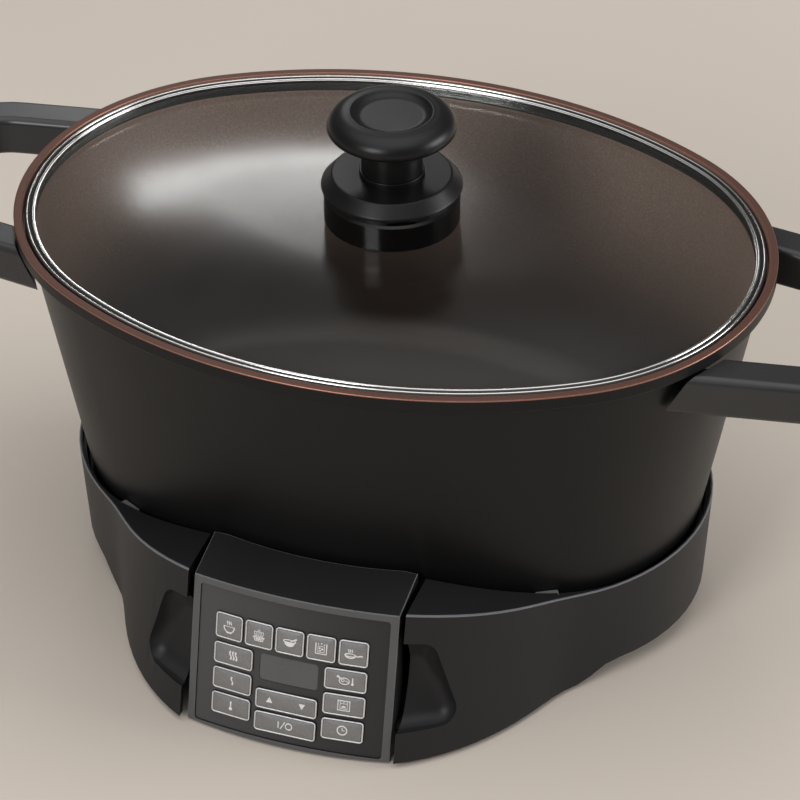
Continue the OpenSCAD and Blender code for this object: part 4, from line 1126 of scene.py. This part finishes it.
class MULTICOOKER_OT_pot(bpy.types.Operator):
    """Finishes the pot and its handles."""

    bl_idname = "multicooker.pot"
    bl_label = "Pot"

    def execute(self, context):
        vessel = oval_spin("pot_vessel", pot_profile(), False)
        shade(vessel, 32)
        even_normals(vessel)

        def part(centre, normal):
            if centre.z > RIM_Z - RIM_DEPTH and normal.z > 0.15:
                return "rim" if normal.z > 0.8 else "rim_edge"
            outward = normal.x * centre.x + normal.y * (centre.y - AXIS_Y)
            low = centre.z < POT_LOW.z + FOOT_HEIGHT
            return "coat" if low or outward > 0 and normal.z <= 0.9 else "inside"

        paint(vessel, ["coat", "rim", "rim_edge", "inside"], part)
        stand_for(vessel, "pot_body")
        dress("handle_left", "left_handle", "handle", 24)
        dress("handle_right", "right_handle", "handle", 24)
        dress("handle_brackets", "handle_lugs", "coat", 30)
        dress("handle_screws", "handle_fixings", "plain_steel", 30, 0.0003)
        return {"FINISHED"}


class MULTICOOKER_OT_lid(bpy.types.Operator):
    """Finishes the glass lid and its knob."""

    bl_idname = "multicooker.lid"
    bl_label = "Lid"

    def execute(self, context):
        band = oval_spin("lid_rim_band", band_profile(), True)
        turned("lid_band", band, "steel", 45)

        def part(centre, normal):
            # The band's outer edge and the groove between its beads get the dark steel as painted shade
            offset = rim_offset(centre)
            groove = BAND_GROOVE_SHADE[0] < offset < BAND_GROOVE_SHADE[1]
            return "sheet" if offset > BAND_EDGE_SHADE or groove else "steel"

        paint(band, ["steel", "sheet"], part)
        turned("lid_glass", oval_spin("lid_sheet", glass_profile(), False), "glass", 30)
        turned("knob_collar", round_spin("gloss_collar", COLLAR_PROFILE), "gloss", 40)
        guard = round_spin("finger_guard", GUARD_PROFILE)
        cut_vent(guard)
        turned("knob_guard", guard, "knob", 35)
        turned("knob_head", round_spin("knob_grip", HEAD_PROFILE), "knob", 35)
        dress("knob_screw", "knob_fixing", "plain_steel", 30)
        dress("knob_washer", "knob_seal", "rubber", 30)
        return {"FINISHED"}


# Stage


def soft_box(name, place, width, height, power):
    """A soft rectangular lamp that faces the object."""
    lamp = bpy.data.lights.new(name, "AREA")
    lamp.shape = "RECTANGLE"
    lamp.size, lamp.size_y = width, height
    lamp.energy = power
    holder = bpy.data.objects.new(name, lamp)
    holder.location = place
    holder.rotation_euler = (LAMP_AIM - Vector(place)).to_track_quat("-Z", "Y").to_euler()
    bpy.context.scene.collection.objects.link(holder)


class MULTICOOKER_OT_stage(bpy.types.Operator):
    """Sets up the floor, the studio light and the camera."""

    bl_idname = "multicooker.stage"
    bl_label = "Stage"

    def execute(self, context):
        scene = context.scene
        scene.view_settings.view_transform = "Standard"

        deselect()
        bpy.ops.mesh.primitive_plane_add(size=FLOOR_SIZE, location=(0, 0, 0))
        floor = context.object
        floor.name = "studio_floor"
        f = Finish.of_material("Pale studio floor")
        cloud = f.noise(0.4, 3.0)
        colour = f.blend(cloud, *FLOOR_TONES)
        floor.data.materials.append(f.done(f.surface(Base_Color=colour, Roughness=0.75)))

        scene.world = bpy.data.worlds.new("Studio")
        scene.world.use_nodes = True
        sky = Finish(scene.world.node_tree)
        rise = sky.split(sky.node("ShaderNodeTexCoord")["Generated"])["Z"]
        glow = sky.blend(rise.step(*SKY_RISE), *SKY_TONES)
        light = sky.node("ShaderNodeBackground", None, {"Color": glow, "Strength": 1.0})["Background"]
        sky.node("ShaderNodeOutputWorld", None, {"Surface": light})

        for name, lamp in SOFT_BOXES.items():
            soft_box(name, *lamp)

        lens = bpy.data.cameras.new("photo_view")
        lens.lens = CAMERA_LENS
        lens.sensor_width = CAMERA_SENSOR
        lens.shift_x, lens.shift_y = CAMERA_SHIFT
        lens.clip_end = CAMERA_REACH
        camera = bpy.data.objects.new("photo_view", lens)
        rows = zip(CAMERA_RIGHT, CAMERA_UP, CAMERA_BACK, CAMERA_PLACE)
        camera.matrix_world = Matrix([*rows, (0, 0, 0, 1)])
        scene.collection.objects.link(camera)
        scene.camera = camera
        return {"FINISHED"}


STEPS = (
    MULTICOOKER_OT_base,
    MULTICOOKER_OT_heater,
    MULTICOOKER_OT_panel,
    MULTICOOKER_OT_keys,
    MULTICOOKER_OT_pot,
    MULTICOOKER_OT_lid,
    MULTICOOKER_OT_stage,
)


class MULTICOOKER_PT_steps(bpy.types.Panel):
    """Lists the steps and what can be changed."""

    bl_idname = "MULTICOOKER_PT_steps"
    bl_label = "Multicooker"
    bl_space_type = "VIEW_3D"
    bl_region_type = "UI"
    bl_category = "Multicooker"

    def draw(self, context):
        for step in STEPS:
            self.layout.operator(step.bl_idname)
        for group in (context.scene.multicooker_sizes, context.scene.multicooker_colours):
            for key in group.__annotations__:
                self.layout.prop(group, key)


CLASSES = (MulticookerColours, MulticookerSizes, *STEPS, MULTICOOKER_PT_steps)


def register():
    for cls in CLASSES:
        bpy.utils.register_class(cls)
    bpy.types.Scene.multicooker_colours = PointerProperty(type=MulticookerColours)
    bpy.types.Scene.multicooker_sizes = PointerProperty(type=MulticookerSizes)


def unregister():
    del bpy.types.Scene.multicooker_sizes
    del bpy.types.Scene.multicooker_colours
    for cls in reversed(CLASSES):
        bpy.utils.unregister_class(cls)


def main():
    register()
    for step in STEPS:
        group, name = step.bl_idname.split(".")
        getattr(getattr(bpy.ops, group), name)()


if __name__ == "__main__":
    main()
